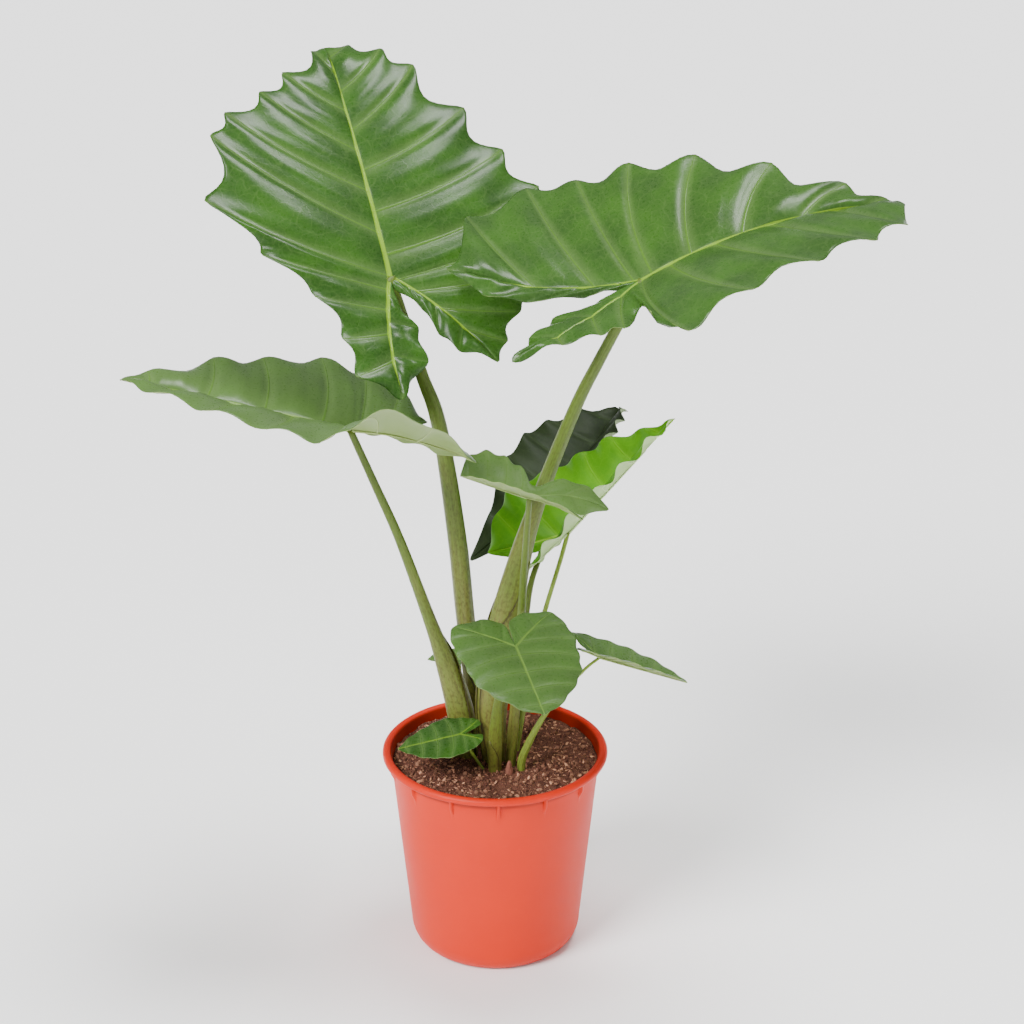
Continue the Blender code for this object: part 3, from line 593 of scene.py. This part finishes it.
def tube(route, outline, seed):
    """A closed tube whose ring at each station is the outline's (angle, share of the radius) list."""
    count = len(route)
    points, run = [], []
    gone = 0.0
    for i, station in enumerate(route):
        wide, deep = section_axes(route, i)
        gone += 0.0 if i == 0 else np.linalg.norm(station[:3] - route[i - 1][:3])
        for angle, share in outline(i / (count - 1), gone):
            points.append(station[:3] + wide * math.cos(angle) * station[3] * share
                          + deep * math.sin(angle) * station[4] * share)
            run.append((math.cos(angle) * 0.01 + seed, math.sin(angle) * 0.01, gone))
    n = len(points) // count
    faces = [[i * n + j, (i + 1) * n + j, (i + 1) * n + (j + 1) % n, i * n + (j + 1) % n]
             for i in range(count - 1) for j in range(n)]
    faces.append(list(range(n)))
    faces.append([(count - 1) * n + j for j in reversed(range(n))])
    return points, faces, run


def stalk_outline(seed):
    """A round section with shallow lengthwise ridges, as the stalk's fibres give it."""
    def outline(share, gone):
        ring = []
        for n in range(STALK_SIDES):
            a = 2 * math.pi * n / STALK_SIDES
            place = Vector((math.cos(a) * 2.4 + seed, math.sin(a) * 2.4, gone * 7))
            fibre = 0.010 * math.sin(11 * a + 2 * math.sin(gone * 9 + seed))
            ring.append((a, 1 + fibre + 0.035 * noise.noise(place)))
        return ring
    return outline


def make_stalk(key, shift, material):
    """The stalk from the soil into the underside of its blade, with the free margins of its sheath."""
    leaf = LEAVES[key]
    seed = 3.7 * float(key)
    top = shift - leaf_axes(leaf)[2] * BLADE_THICKNESS * 0.5
    stations = [(x, y, SOIL_LEVEL + h, w, d) for x, y, h, w, d in np.array(STALKS[key]) / 1000]
    thin = STALK_TOPS[key] / 1000
    foot = (*stations[0][:2], SOIL_LEVEL - SUNK_IN_SOIL, *stations[0][3:])
    route = smooth_route([foot] + stations[1:] + [(*top, thin, thin)], ROUTE_STEP)
    points, faces, run = tube(route, stalk_outline(seed), seed)
    share = np.repeat(np.linspace(0, 1, len(route)), STALK_SIDES)
    edge = np.zeros(len(points))
    for a0, a1, high, flare in SHEATHS.get(key, ()):
        wing = sheath_wing(route, a0, a1, high, flare, len(points))
        points += wing[0]
        faces += wing[1]
        run += wing[2]
        share = np.concatenate([share, wing[3]])
        edge = np.concatenate([edge, wing[4]])
    data = {"run": run, "share": share, "edge": edge}
    obj = make_mesh(f"petiole_{key}", points, faces, [material], data)
    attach(obj, "root")
    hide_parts(f"stalk_{key}")


def sheath_wing(route, a0, a1, high, flare, first):
    """A thin margin of the sheath, wrapped over the stalk from angle a0 to a1 and up to a height."""
    base = route[0][2]
    rows = [i for i, s in enumerate(route) if s[2] - base <= high]
    columns = 12
    points, run, share, edge = [], [], [], []
    for layer in (0, 1):
        for i in rows:
            s = route[i]
            wide, deep = section_axes(route, i)
            rise = (s[2] - base) / high
            reach = (a1 - a0) * min(1.0, 3.0 * (1 - rise) + 0.02) * (0.8 + 0.2 * math.sin(5 * rise))
            for j in range(columns):
                q = j / (columns - 1)
                a = math.radians(a0 + reach * q)
                lift = SHEATH_THICKNESS * (0.3 + 0.9 * (1 - q) if layer == 0 else -0.4)
                lift += flare * q * q * min(1, 4 * (1 - rise)) * rise
                r_wide, r_deep = s[3] * 1.01 + lift, s[4] * 1.01 + lift
                points.append(s[:3] + wide * math.cos(a) * r_wide + deep * math.sin(a) * r_deep)
                run.append((math.cos(a) * 0.01 + 5, math.sin(a) * 0.01, s[2]))
                share.append(i / (len(route) - 1))
                edge.append(q)
    faces = []

    def at(i, j, layer):
        return first + (layer * len(rows) + i) * columns + j

    for i in range(len(rows) - 1):
        for j in range(columns - 1):
            ring = [(i, j), (i, j + 1), (i + 1, j + 1), (i + 1, j)]
            faces += [[at(*place, 0) for place in ring], [at(*place, 1) for place in reversed(ring)]]
        for j in (0, columns - 1):
            side = [at(i, j, 0), at(i + 1, j, 0), at(i + 1, j, 1), at(i, j, 1)]
            faces.append(side if j == 0 else side[::-1])
    for i in (0, len(rows) - 1):
        for j in range(columns - 1):
            end = [at(i, j, 0), at(i, j, 1), at(i, j + 1, 1), at(i, j + 1, 0)]
            faces.append(end if i == 0 else end[::-1])
    return points, faces, run, np.array(share), np.array(edge)


# ---- pot and soil

def outer_radius(z):
    """The outer wall's radius at height z: a straight taper over a rounded bottom edge."""
    radius = TOP_RADIUS - TAPER * (POT_HEIGHT - RIM_BAND - max(z, BASE_ROUND))
    if z < BASE_ROUND:
        radius -= BASE_ROUND * 0.6 * (1 - math.sqrt(1 - (1 - z / BASE_ROUND) ** 2))
    return radius


def pot_profile():
    """(radius, height) from the inner floor's edge over the rolled rim to the centre of the underside."""
    under = POT_HEIGHT - RIM_BAND
    floor = FOOT_HEIGHT + WALL
    inner = [(outer_radius(z) - WALL, z) for z in np.linspace(floor + 0.004, under, 16)]
    middle, level = RIM_RADIUS - RIM_WIDTH / 2, POT_HEIGHT - ROLL_HALF_HEIGHT
    rim = [(middle + RIM_WIDTH / 2 * math.cos(a), level + ROLL_HALF_HEIGHT * math.sin(a))
           for a in np.radians(np.linspace(175, -30, 20))]
    wall = [(outer_radius(z), z) for z in np.linspace(under - 0.0005, BASE_ROUND, 24)]
    bottom = [(outer_radius(z), z) for z in BASE_ROUND * (1 - np.sin(np.linspace(0, math.pi / 2, 9)))[1:]]
    foot = outer_radius(0.0)
    under_side = [
        (foot - FOOT_RING_WIDTH, 0.0), (foot - FOOT_RING_WIDTH - UNDERCUT_SLOPE, FOOT_HEIGHT),
        (BOSS_RADIUS + UNDERCUT_SLOPE, FOOT_HEIGHT), (BOSS_RADIUS, 0.0), (PROFILE_HOLE, 0.0),
    ]
    start = [(PROFILE_HOLE, floor), (outer_radius(floor) - 2.2 * WALL, floor)]
    return start + inner + rim + wall + bottom + under_side


def rib_share(angle):
    """1 on a stacking rib, 0 between two, with soft sides."""
    off = abs((angle - RIB_START + RIB_PITCH / 2) % RIB_PITCH - RIB_PITCH / 2)
    return float(ease((1.3 * RIB_HALF_ANGLE - off) / (0.5 * RIB_HALF_ANGLE)))


def make_pot(material):
    profile = pot_profile()
    near = [n * RIB_HALF_ANGLE for n in (-1.35, -1.15, -0.95, -0.7, 0, 0.7, 0.95, 1.15, 1.35)]
    between = np.linspace(2.2 * RIB_HALF_ANGLE, RIB_PITCH - 2.2 * RIB_HALF_ANGLE, 12)
    offsets = near + list(between)
    angles = [RIB_START + k * RIB_PITCH + offset for k in range(RIB_COUNT) for offset in offsets]
    under = POT_HEIGHT - RIM_BAND
    points, faces = [], []
    for radius, z in profile:
        outside = radius > outer_radius(z) - 0.0006 and z < under
        drop = float(ease((z - (under - RIB_HEIGHT - RIB_FADE)) / RIB_FADE))
        for angle in angles:
            a = math.radians(angle)
            r = radius + (RIB_DEPTH * rib_share(angle) * drop if outside else 0.0)
            points.append((r * math.cos(a), r * math.sin(a), z))
    count = len(angles)
    for i in range(len(profile) - 1):
        for j in range(count):
            k = (j + 1) % count
            faces.append((i * count + j, (i + 1) * count + j, (i + 1) * count + k, i * count + k))
    pot = make_mesh("nursery_pot", points, faces, [material], {})
    pot.data.set_sharp_from_angle(angle=math.radians(50))
    for k in range(NOTCH_COUNT):
        a = math.radians(NOTCH_START + 360 * k / NOTCH_COUNT)
        place = (outer_radius(0) * math.cos(a), outer_radius(0) * math.sin(a), 0)
        bpy.ops.mesh.primitive_cube_add(size=1.0, location=place)
        cutter = bpy.context.object
        cutter.scale = NOTCH_CUTTER
        cutter.rotation_euler = (0, 0, a)
        cut(pot, cutter)
    for k in range(DRAIN_COUNT):
        a = 2 * math.pi * (k + 0.5) / DRAIN_COUNT
        place = (DRAIN_RING * math.cos(a), DRAIN_RING * math.sin(a), FOOT_HEIGHT)
        bpy.ops.mesh.primitive_cylinder_add(vertices=32, radius=DRAIN_RADIUS, depth=0.01, location=place)
        cut(pot, bpy.context.object)
    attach(pot, "root")
    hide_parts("pot")


def cut(obj, cutter):
    modifier = obj.modifiers.new("cut", "BOOLEAN")
    modifier.operation = "DIFFERENCE"
    modifier.solver = "EXACT"
    modifier.object = cutter
    bpy.context.view_layer.objects.active = obj
    bpy.context.view_layer.update()
    bpy.ops.object.modifier_apply(modifier="cut")
    bpy.data.objects.remove(cutter)


def soil_height(x, y):
    """How far the soil's surface stands over its mean level: a slight mound at the clump, with lumps."""
    mound = 0.003 * math.exp(-(x * x + y * y) / 0.003)
    lumps = noise.fractal(Vector((x * 60, y * 60, 3.0)), 1.0, 2.0, 5) * 0.0022
    return mound + lumps - 0.001


def make_soil(material, flecks):
    """The soil's crumbly surface and sides, and the crumbs, bark flecks and fibres lying on it."""
    edge = outer_radius(SOIL_LEVEL) - WALL - 0.0004
    turns = [2 * math.pi * j / SOIL_SIDES for j in range(SOIL_SIDES)]
    points, faces = [(0, 0, SOIL_LEVEL + soil_height(0, 0))], []
    for i in range(1, SOIL_RINGS + 1):
        r = edge * i / SOIL_RINGS
        for a in turns:
            x, y = r * math.cos(a), r * math.sin(a)
            points.append((x, y, SOIL_LEVEL + soil_height(x, y)))
    low = len(points)
    for z in (0.12, 0.03, 0.006):
        r = outer_radius(z) - WALL * 1.5 - 0.001
        points += [(r * math.cos(a), r * math.sin(a), z) for a in turns]
    points.append((0, 0, 0.006))
    for j in range(SOIL_SIDES):
        k = (j + 1) % SOIL_SIDES
        faces.append((0, 1 + j, 1 + k))
        faces.append((len(points) - 1, low + 2 * SOIL_SIDES + k, low + 2 * SOIL_SIDES + j))
        for i in range(SOIL_RINGS + 2):
            here, below = 1 + i * SOIL_SIDES, 1 + (i + 1) * SOIL_SIDES
            faces.append((here + j, below + j, below + k, here + k))
    data = {"tone": np.zeros(len(points))}
    soil = make_mesh("potting_soil", points, faces, [material], data)
    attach(soil, "root")
    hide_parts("soil")
    crumbs = make_crumbs(edge, flecks)
    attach(crumbs, "root")


def make_crumbs(edge, material):
    """Peat crumbs, bark flecks and fibres, each a small closed lump with its own tone."""
    random = np.random.default_rng(7)
    lump = [(0, 0, 1), (0, 0, -1), (1, 0, 0), (0, 1, 0), (-1, 0, 0), (0, -1, 0)]
    lump += [(s * 0.6, t * 0.6, u * 0.5) for s in (1, -1) for t in (1, -1) for u in (1, -1)]
    lump = np.array(lump, float)
    faces = convex_faces(lump)
    points, solid, tone = [], [], []
    for n in range(CRUMB_COUNT):
        r, a = edge * 0.985 * math.sqrt(random.random()), 2 * math.pi * random.random()
        x, y = r * math.cos(a), r * math.sin(a)
        kind = random.random()
        size = 0.0007 + 0.0020 * random.random() ** 2.5
        if kind < FIBRE_SHARE:
            scale = np.array((0.0002, 0.0002, 0.002 + 0.004 * random.random()))
            shade = 0.9
        elif kind < BARK_SHARE:
            scale = np.array((size * 1.6, size * 0.9, size * 0.4))
            shade = 0.45 + 0.5 * random.random()
        else:
            scale = size * (0.7 + 0.6 * random.random(3))
            shade = 0.35 * random.random() ** 2
        turn = random_turn(random, kind < FIBRE_SHARE)
        body = (lump * (1 + 0.35 * (random.random(lump.shape) - 0.5)) * scale) @ turn.T
        centre = np.array((x, y, SOIL_LEVEL + soil_height(x, y) + 0.35 * float(scale.min())))
        first = len(points)
        points += list(body + centre)
        solid += [[first + v for v in face] for face in faces]
        tone += [shade] * len(lump)
    return make_mesh("soil_crumbs", points, solid, [material], {"tone": tone})


def convex_faces(points):
    """The triangles of a small convex point set, facing out."""
    body = bmesh.new()
    verts = [body.verts.new(p) for p in points]
    bmesh.ops.convex_hull(body, input=verts)
    bmesh.ops.recalc_face_normals(body, faces=body.faces)
    body.verts.index_update()
    faces = [[v.index for v in face.verts] for face in body.faces]
    body.free()
    return faces


def turn_about_z(angle):
    c, s = math.cos(angle), math.sin(angle)
    return np.array(((c, -s, 0), (s, c, 0), (0, 0, 1)))


def random_turn(random, lying):
    """A random rotation; a lying fibre's long axis stays near the horizontal."""
    a, b, c = 2 * math.pi * random.random(3)
    if lying:
        b = math.pi / 2 + 0.5 * (random.random() - 0.5)
    lean = np.array(((math.cos(b), 0, math.sin(b)), (0, 1, 0), (-math.sin(b), 0, math.cos(b))))
    return turn_about_z(a) @ lean @ turn_about_z(c)


def make_stub(material):
    """The torn, dried base of an old leaf."""
    low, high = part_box("old_stub")
    centre = (low + high) / 2
    foot_y, tip_y = low.y * 0.25 + high.y * 0.75, low.y * 0.7 + high.y * 0.3
    route = []
    for q in np.linspace(0, 1, 9):
        thin = 1 - 0.75 * q * q
        route.append((centre.x, mix(foot_y, tip_y, q), mix(SOIL_LEVEL - 0.003, high.z, q),
                      STUB_HALF_WIDTH * thin, STUB_HALF_DEPTH * thin))

    def outline(share, gone):
        ring = []
        for n in range(STUB_SIDES):
            a = 2 * math.pi * n / STUB_SIDES
            place = Vector((math.cos(a) * 3, math.sin(a) * 3, gone * 300))
            ring.append((a, 1 + 0.45 * noise.noise(place) * (0.4 + share)))
        return ring

    points, faces, run = tube(np.array(route), outline, 2.0)
    obj = make_mesh("dry_stub", points, faces, [material], {"run": run})
    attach(obj, "root")
    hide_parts("old_stub")


# ---- materials

class Shader:
    """A Principled material and short ways to add nodes to it."""

    def __init__(self, name):
        self.material = bpy.data.materials.new(name)
        self.material.use_nodes = True
        self.tree = self.material.node_tree
        self.bsdf = self.tree.nodes["Principled BSDF"]
        self.output = self.tree.nodes["Material Output"]

    def put(self, socket, value):
        if isinstance(value, bpy.types.NodeSocket):
            self.tree.links.new(value, socket)
        else:
            socket.default_value = value

    def node(self, kind, inputs, **settings):
        node = self.tree.nodes.new(kind)
        for key, value in settings.items():
            setattr(node, key, value)
        for key, value in inputs.items():
            self.put(node.inputs[key], value)
        return node

    def attribute(self, name, vector=False):
        node = self.node("ShaderNodeAttribute", {}, attribute_name=name)
        return node.outputs["Vector" if vector else "Fac"]

    def noise(self, where, scale, detail=3.0, rough=0.5):
        inputs = {"Vector": where, "Scale": scale, "Detail": detail, "Roughness": rough}
        return self.node("ShaderNodeTexNoise", inputs).outputs["Fac"]

    def cells(self, where, scale):
        inputs = {"Vector": where, "Scale": scale}
        return self.node("ShaderNodeTexVoronoi", inputs, feature="DISTANCE_TO_EDGE").outputs["Distance"]

    def stretch(self, where, scale):
        return self.node("ShaderNodeMapping", {"Vector": where, "Scale": scale}).outputs["Vector"]

    def span(self, value, low, high, to_low=0.0, to_high=1.0):
        inputs = {"Value": value, "From Min": low, "From Max": high, "To Min": to_low, "To Max": to_high}
        return self.node("ShaderNodeMapRange", inputs, interpolation_type="SMOOTHSTEP").outputs["Result"]

    def maths(self, operation, a, b):
        return self.node("ShaderNodeMath", {0: a, 1: b}, operation=operation).outputs[0]

    def plus(self, a, b):
        return self.maths("ADD", a, b)

    def times(self, a, b):
        return self.maths("MULTIPLY", a, b)

    def blend(self, factor, a, b):
        a, b = (x if isinstance(x, bpy.types.NodeSocket) else (*x, 1.0) for x in (a, b))
        return self.node("ShaderNodeMix", {0: factor, 6: a, 7: b}, data_type="RGBA").outputs[2]

    def bump(self, height, distance, strength=1.0):
        inputs = {"Height": height, "Distance": distance, "Strength": strength}
        self.put(self.bsdf.inputs["Normal"], self.node("ShaderNodeBump", inputs).outputs["Normal"])

    def finish(self, colour, roughness, **uniform):
        self.put(self.bsdf.inputs["Base Color"], colour)
        self.put(self.bsdf.inputs["Roughness"], roughness)
        for key, value in uniform.items():
            self.bsdf.inputs[key.replace("_", " ")].default_value = value
        return self.material

    def glow_through(self, colour, share):
        """Lets a share of the light through the thin blade."""
        through = self.node("ShaderNodeBsdfTranslucent", {"Color": colour})
        both = self.node("ShaderNodeMixShader", {0: share, 1: self.bsdf.outputs[0], 2: through.outputs[0]})
        self.put(self.output.inputs["Surface"], both.outputs[0])


# Each leaf skin's colours (dark, mid, light, vein, rib), roughness, share of light let through, strength of
# its veins, and specular level
LEAF_LOOKS = {
    "leaf_upper": ((0.008, 0.044, 0.002), (0.022, 0.088, 0.003), (0.14, 0.235, 0.070), (0.085, 0.20, 0.014),
                   (0.19, 0.34, 0.020), 0.27, 0.10, 0.6, 0.22),
    "young_upper": ((0.04, 0.17, 0.001), (0.08, 0.27, 0.001), (0.15, 0.38, 0.005), (0.19, 0.42, 0.01),
                    (0.28, 0.50, 0.04), 0.42, 0.22, 0.35, 0.15),
    # the dark skins are painted shade: darker, less glossy copies of the leaf skins for the leaf behind the
    # young one
    "dark_upper": ((0.009, 0.018, 0.005), (0.020, 0.034, 0.010), (0.045, 0.070, 0.026), (0.05, 0.08, 0.03),
                   (0.06, 0.1, 0.035), 0.5, 0.06, 0.4, 0.12),
    "leaf_under": ((0.17, 0.27, 0.075), (0.23, 0.33, 0.10), (0.30, 0.40, 0.14), (0.34, 0.44, 0.16),
                   (0.38, 0.46, 0.15), 0.5, 0.12, 0.6, 0.22),
    "young_under": ((0.42, 0.62, 0.24), (0.5, 0.7, 0.3), (0.58, 0.76, 0.38), (0.62, 0.78, 0.42),
                    (0.66, 0.8, 0.45), 0.5, 0.2, 0.5, 0.22),
    "dark_under": ((0.14, 0.20, 0.10), (0.19, 0.26, 0.13), (0.25, 0.33, 0.17), (0.3, 0.38, 0.2),
                   (0.33, 0.4, 0.2), 0.55, 0.1, 0.5, 0.22),
}
# the leaf_dark slot gets the dark skins, whose darkness is painted shade
LOOK_OF_SLOT = {"leaf_mature": "leaf", "leaf_young": "young", "leaf_dark": "dark"}

# Each stalk skin's colours (low, high, blotch) and roughness
STALK_LOOKS = {
    "stalk": ((0.155, 0.145, 0.030), (0.072, 0.115, 0.011), (0.045, 0.022, 0.007), 0.40),
    "stalk_young": ((0.12, 0.155, 0.022), (0.19, 0.28, 0.035), (0.10, 0.075, 0.02), 0.42),
}


def leaf_material(name, dark, mid, light, vein, rib, roughness, through, vein_share, specular):
    """Waxy leaf skin: side veins and midrib in paler lines, a fine net between them, mottled greens."""
    s = Shader(name)
    flat = s.attribute("flat", vector=True)
    warp = s.node("ShaderNodeTexNoise", {"Vector": flat, "Scale": 45.0, "Detail": 2.0}).outputs["Color"]
    bent = s.node("ShaderNodeMix", {0: 0.010, 4: flat, 5: warp}, data_type="VECTOR").outputs[1]
    side, main = s.attribute("vein"), s.attribute("rib")
    large, grain = s.noise(flat, 22.0, 3.0), s.noise(flat, 320.0, 4.0, 0.6)
    net = s.span(s.cells(bent, 230.0), 0.0, 0.11, 1.0, 0.0)
    coarse = s.span(s.cells(bent, 75.0), 0.0, 0.05, 1.0, 0.0)
    colour = s.blend(s.span(large, 0.3, 0.72), dark, mid)
    tone, faint = s.attribute("tone"), s.attribute("faint")
    colour = s.blend(s.times(tone, 0.7), colour, light)
    colour = s.blend(s.span(side, 0.0, 16.0, 0.30, 0.0), colour, light)
    colour = s.blend(s.times(grain, 0.20), colour, light)
    colour = s.blend(s.times(net, 0.08), colour, light)
    colour = s.blend(s.times(coarse, 0.12), colour, light)
    colour = s.blend(s.times(s.span(side, 0.55, 1.5, vein_share, 0.0), faint), colour, vein)
    main_colour = s.blend(tone, rib, tuple(1.15 * c for c in light))
    colour = s.blend(s.times(s.span(main, 0.75, 1.25, 1.0, 0.0), faint), colour, main_colour)
    rough = s.plus(s.times(grain, 0.16), roughness - 0.06)
    ridge = s.plus(s.times(coarse, 0.1), s.span(side, 0.3, 1.8, 1.0, 0.0))
    ridge = s.plus(ridge, s.times(grain, 0.15))
    s.bump(ridge, 0.00035, 0.8)
    material = s.finish(colour, rough, Specular_IOR_Level=specular)
    s.glow_through(colour, through)
    return material


def stalk_material(name, low, high, blotch, roughness):
    """Fleshy stalk: green fading up its length, fine lengthwise streaks and brown mottling."""
    s = Shader(name)
    run, share, edge = s.attribute("run", vector=True), s.attribute("share"), s.attribute("edge")
    streak = s.noise(s.stretch(run, (900.0, 900.0, 16.0)), 1.0, 4.0, 0.6)
    spots = s.noise(s.stretch(run, (420.0, 420.0, 190.0)), 1.0, 5.0, 0.65)
    broad = s.noise(s.stretch(run, (60.0, 60.0, 14.0)), 1.0, 2.0)
    fade = s.plus(share, s.times(s.maths("SUBTRACT", broad, 0.5), 0.7))
    colour = s.blend(s.span(fade, 0.05, 0.7), low, high)
    colour = s.blend(s.span(streak, 0.35, 0.7, 0.0, 0.5), colour, tuple(1.9 * c for c in high))
    mottle = s.times(s.span(spots, 0.44, 0.66), s.span(share, 0.1, 1.0, 0.55, 0.3))
    colour = s.blend(mottle, colour, blotch)
    colour = s.blend(s.span(edge, 0.82, 1.0, 0.0, 0.85), colour, tuple(0.55 * c for c in blotch))
    s.bump(s.plus(s.times(streak, 0.8), s.times(spots, 0.3)), 0.0005, 0.7)
    return s.finish(colour, s.plus(s.times(spots, 0.2), roughness - 0.1), Specular_IOR_Level=0.3)


def soil_material(name, share_of_tone):
    """Moist brown peat, with paler, drier crumbs."""
    s = Shader(name)
    where = s.node("ShaderNodeTexCoord", {}).outputs["Object"]
    fine, broad = s.noise(where, 900.0, 5.0, 0.7), s.noise(where, 70.0, 4.0, 0.6)
    colour = s.blend(s.span(fine, 0.38, 0.68), (0.022, 0.008, 0.005), (0.24, 0.085, 0.052))
    colour = s.blend(s.span(broad, 0.5, 0.8, 0.0, 0.5), colour, (0.26, 0.105, 0.068))
    tone = s.attribute("tone")
    colour = s.blend(s.times(tone, share_of_tone), colour, (0.80, 0.40, 0.24))
    s.bump(s.plus(fine, broad), 0.0012, 0.9)
    return s.finish(colour, 0.9, Specular_IOR_Level=0.25)


def pot_material():
    """Thin moulded plastic in terracotta red, with a faint grain and scuffs, and painted shade on the inner
    wall above the soil.
    """
    s = Shader("pot_plastic")
    where = s.node("ShaderNodeTexCoord", {}).outputs["Object"]
    grain, broad = s.noise(where, 1400.0, 3.0), s.noise(where, 18.0, 3.0)
    height = s.node("ShaderNodeSeparateXYZ", {"Vector": where}).outputs["Z"]
    colour = s.blend(broad, (0.60, 0.018, 0.001), (0.67, 0.026, 0.001))
    on_rim = s.span(height, POT_HEIGHT - 1.2 * RIM_BAND, POT_HEIGHT - 0.8 * RIM_BAND, 0.0, 0.5)
    colour = s.blend(on_rim, colour, (0.54, 0.014, 0.002))
    level = s.node("ShaderNodeVectorMath", {0: where, 1: (1.0, 1.0, 0.0)}, operation="MULTIPLY").outputs[0]
    from_axis = s.node("ShaderNodeVectorMath", {0: level}, operation="LENGTH").outputs["Value"]
    # painted shade: the inner wall above the soil and the inside of the rim roll, in a darker copy of the red
    inside = s.span(from_axis, RIM_RADIUS - RIM_WIDTH, RIM_RADIUS - 0.8 * RIM_WIDTH, 0.75, 0.0)
    painted_inner_shade = s.times(inside, s.span(height, SOIL_LEVEL - 0.004, SOIL_LEVEL))
    colour = s.blend(painted_inner_shade, colour, (0.24, 0.018, 0.007))
    scuff = s.span(s.noise(s.stretch(where, (1.0, 1.0, 4.0)), 130.0, 5.0, 0.7), 0.62, 0.8, 0.0, 0.12)
    colour = s.blend(scuff, colour, (0.85, 0.35, 0.25))
    s.bump(s.plus(s.times(grain, 0.4), s.noise(where, 60.0)), 0.0003, 0.25)
    return s.finish(colour, s.span(broad, 0.3, 0.7, 0.40, 0.47), Specular_IOR_Level=0.2)


def husk_material():
    """Dry leaf base in streaky browns."""
    s = Shader("dry_husk")
    run = s.attribute("run", vector=True)
    streak = s.noise(s.stretch(run, (500.0, 500.0, 120.0)), 1.0, 5.0, 0.7)
    colour = s.blend(s.span(streak, 0.3, 0.7), (0.12, 0.035, 0.02), (0.50, 0.20, 0.13))
    s.bump(streak, 0.001, 0.9)
    return s.finish(colour, 0.8)


# ---- stage

def add_light(name, kind, place, aim, strength, softness):
    """A light at a place, turned to its aim. Softness is an area's side or a sun's angle across."""
    data = bpy.data.lights.new(name, kind)
    data.energy = strength
    if kind == "SUN":
        data.angle = math.radians(softness)
    else:
        data.size = softness
    obj = bpy.data.objects.new(name, data)
    obj.location = place
    obj.rotation_euler = (Vector(aim) - Vector(place)).to_track_quat("-Z", "Y").to_euler()
    bpy.context.collection.objects.link(obj)


FLOOR_REACH = 60
FLOOR_LEVEL = -0.0002
WORLD_STRENGTH = 0.40
# name, kind, place, aim, strength, softness
LIGHTS = [
    ("key", "SUN", (-1.6, -1.6, 2.6), (0, 0, 0.5), 5.0, 26),
    ("top", "SUN", (0.5, 0.3, 2.9), (0, 0, 0.5), 3.4, 22),
    ("fill", "AREA", (2.2, -1.8, 1.2), (0, 0, 0.4), 20, 1.3),
]
CAMERA_PLACE = (0.018, -2.2, 1.395)
CAMERA_DOWN = 22.26
CAMERA_LENS = 81.8


def make_stage():
    """A wide pale floor just under the pot's foot, soft lights, and the camera."""
    r = FLOOR_REACH
    points = [(x, y, FLOOR_LEVEL) for x, y in ((-r, -r), (r, -r), (r, r), (-r, r))]
    paper = Shader("paper").finish((0.93, 0.93, 0.93, 1.0), 0.9)
    floor = make_mesh("floor", points, [(0, 1, 2, 3)], [paper], {})
    world = bpy.data.worlds.new("studio")
    world.use_nodes = True
    world.node_tree.nodes["Background"].inputs["Color"].default_value = (1.0, 1.0, 1.0, 1.0)
    world.node_tree.nodes["Background"].inputs["Strength"].default_value = WORLD_STRENGTH
    bpy.context.scene.world = world
    for light in LIGHTS:
        add_light(*light)
    camera = bpy.data.cameras.new("camera")
    camera.lens = CAMERA_LENS
    obj = bpy.data.objects.new("camera", camera)
    obj.location = CAMERA_PLACE
    obj.rotation_euler = (math.radians(90 - CAMERA_DOWN), 0, 0)
    bpy.context.collection.objects.link(obj)
    bpy.context.scene.camera = obj


def main():
    """Every piece of the plant in place of its CAD node, then the stage."""
    skins = {name: leaf_material(name, *look) for name, look in LEAF_LOOKS.items()}
    stalks = {name: stalk_material(name, *look) for name, look in STALK_LOOKS.items()}
    slots = {row["node"]: row["material_slot"] for row in frame["record"]["subparts"]}
    for key in LEAVES:
        slot = slots[f"blade_{key}"]
        look = LOOK_OF_SLOT[slot]
        shift = make_blade(key, skins[f"{look}_upper"], skins[f"{look}_under"])
        slot = slots[f"stalk_{key}"]
        make_stalk(key, shift, stalks[slot])
    make_stub(husk_material())
    make_pot(pot_material())
    make_soil(soil_material("soil", 0.0), soil_material("soil_crumb", 0.9))
    make_stage()


main()
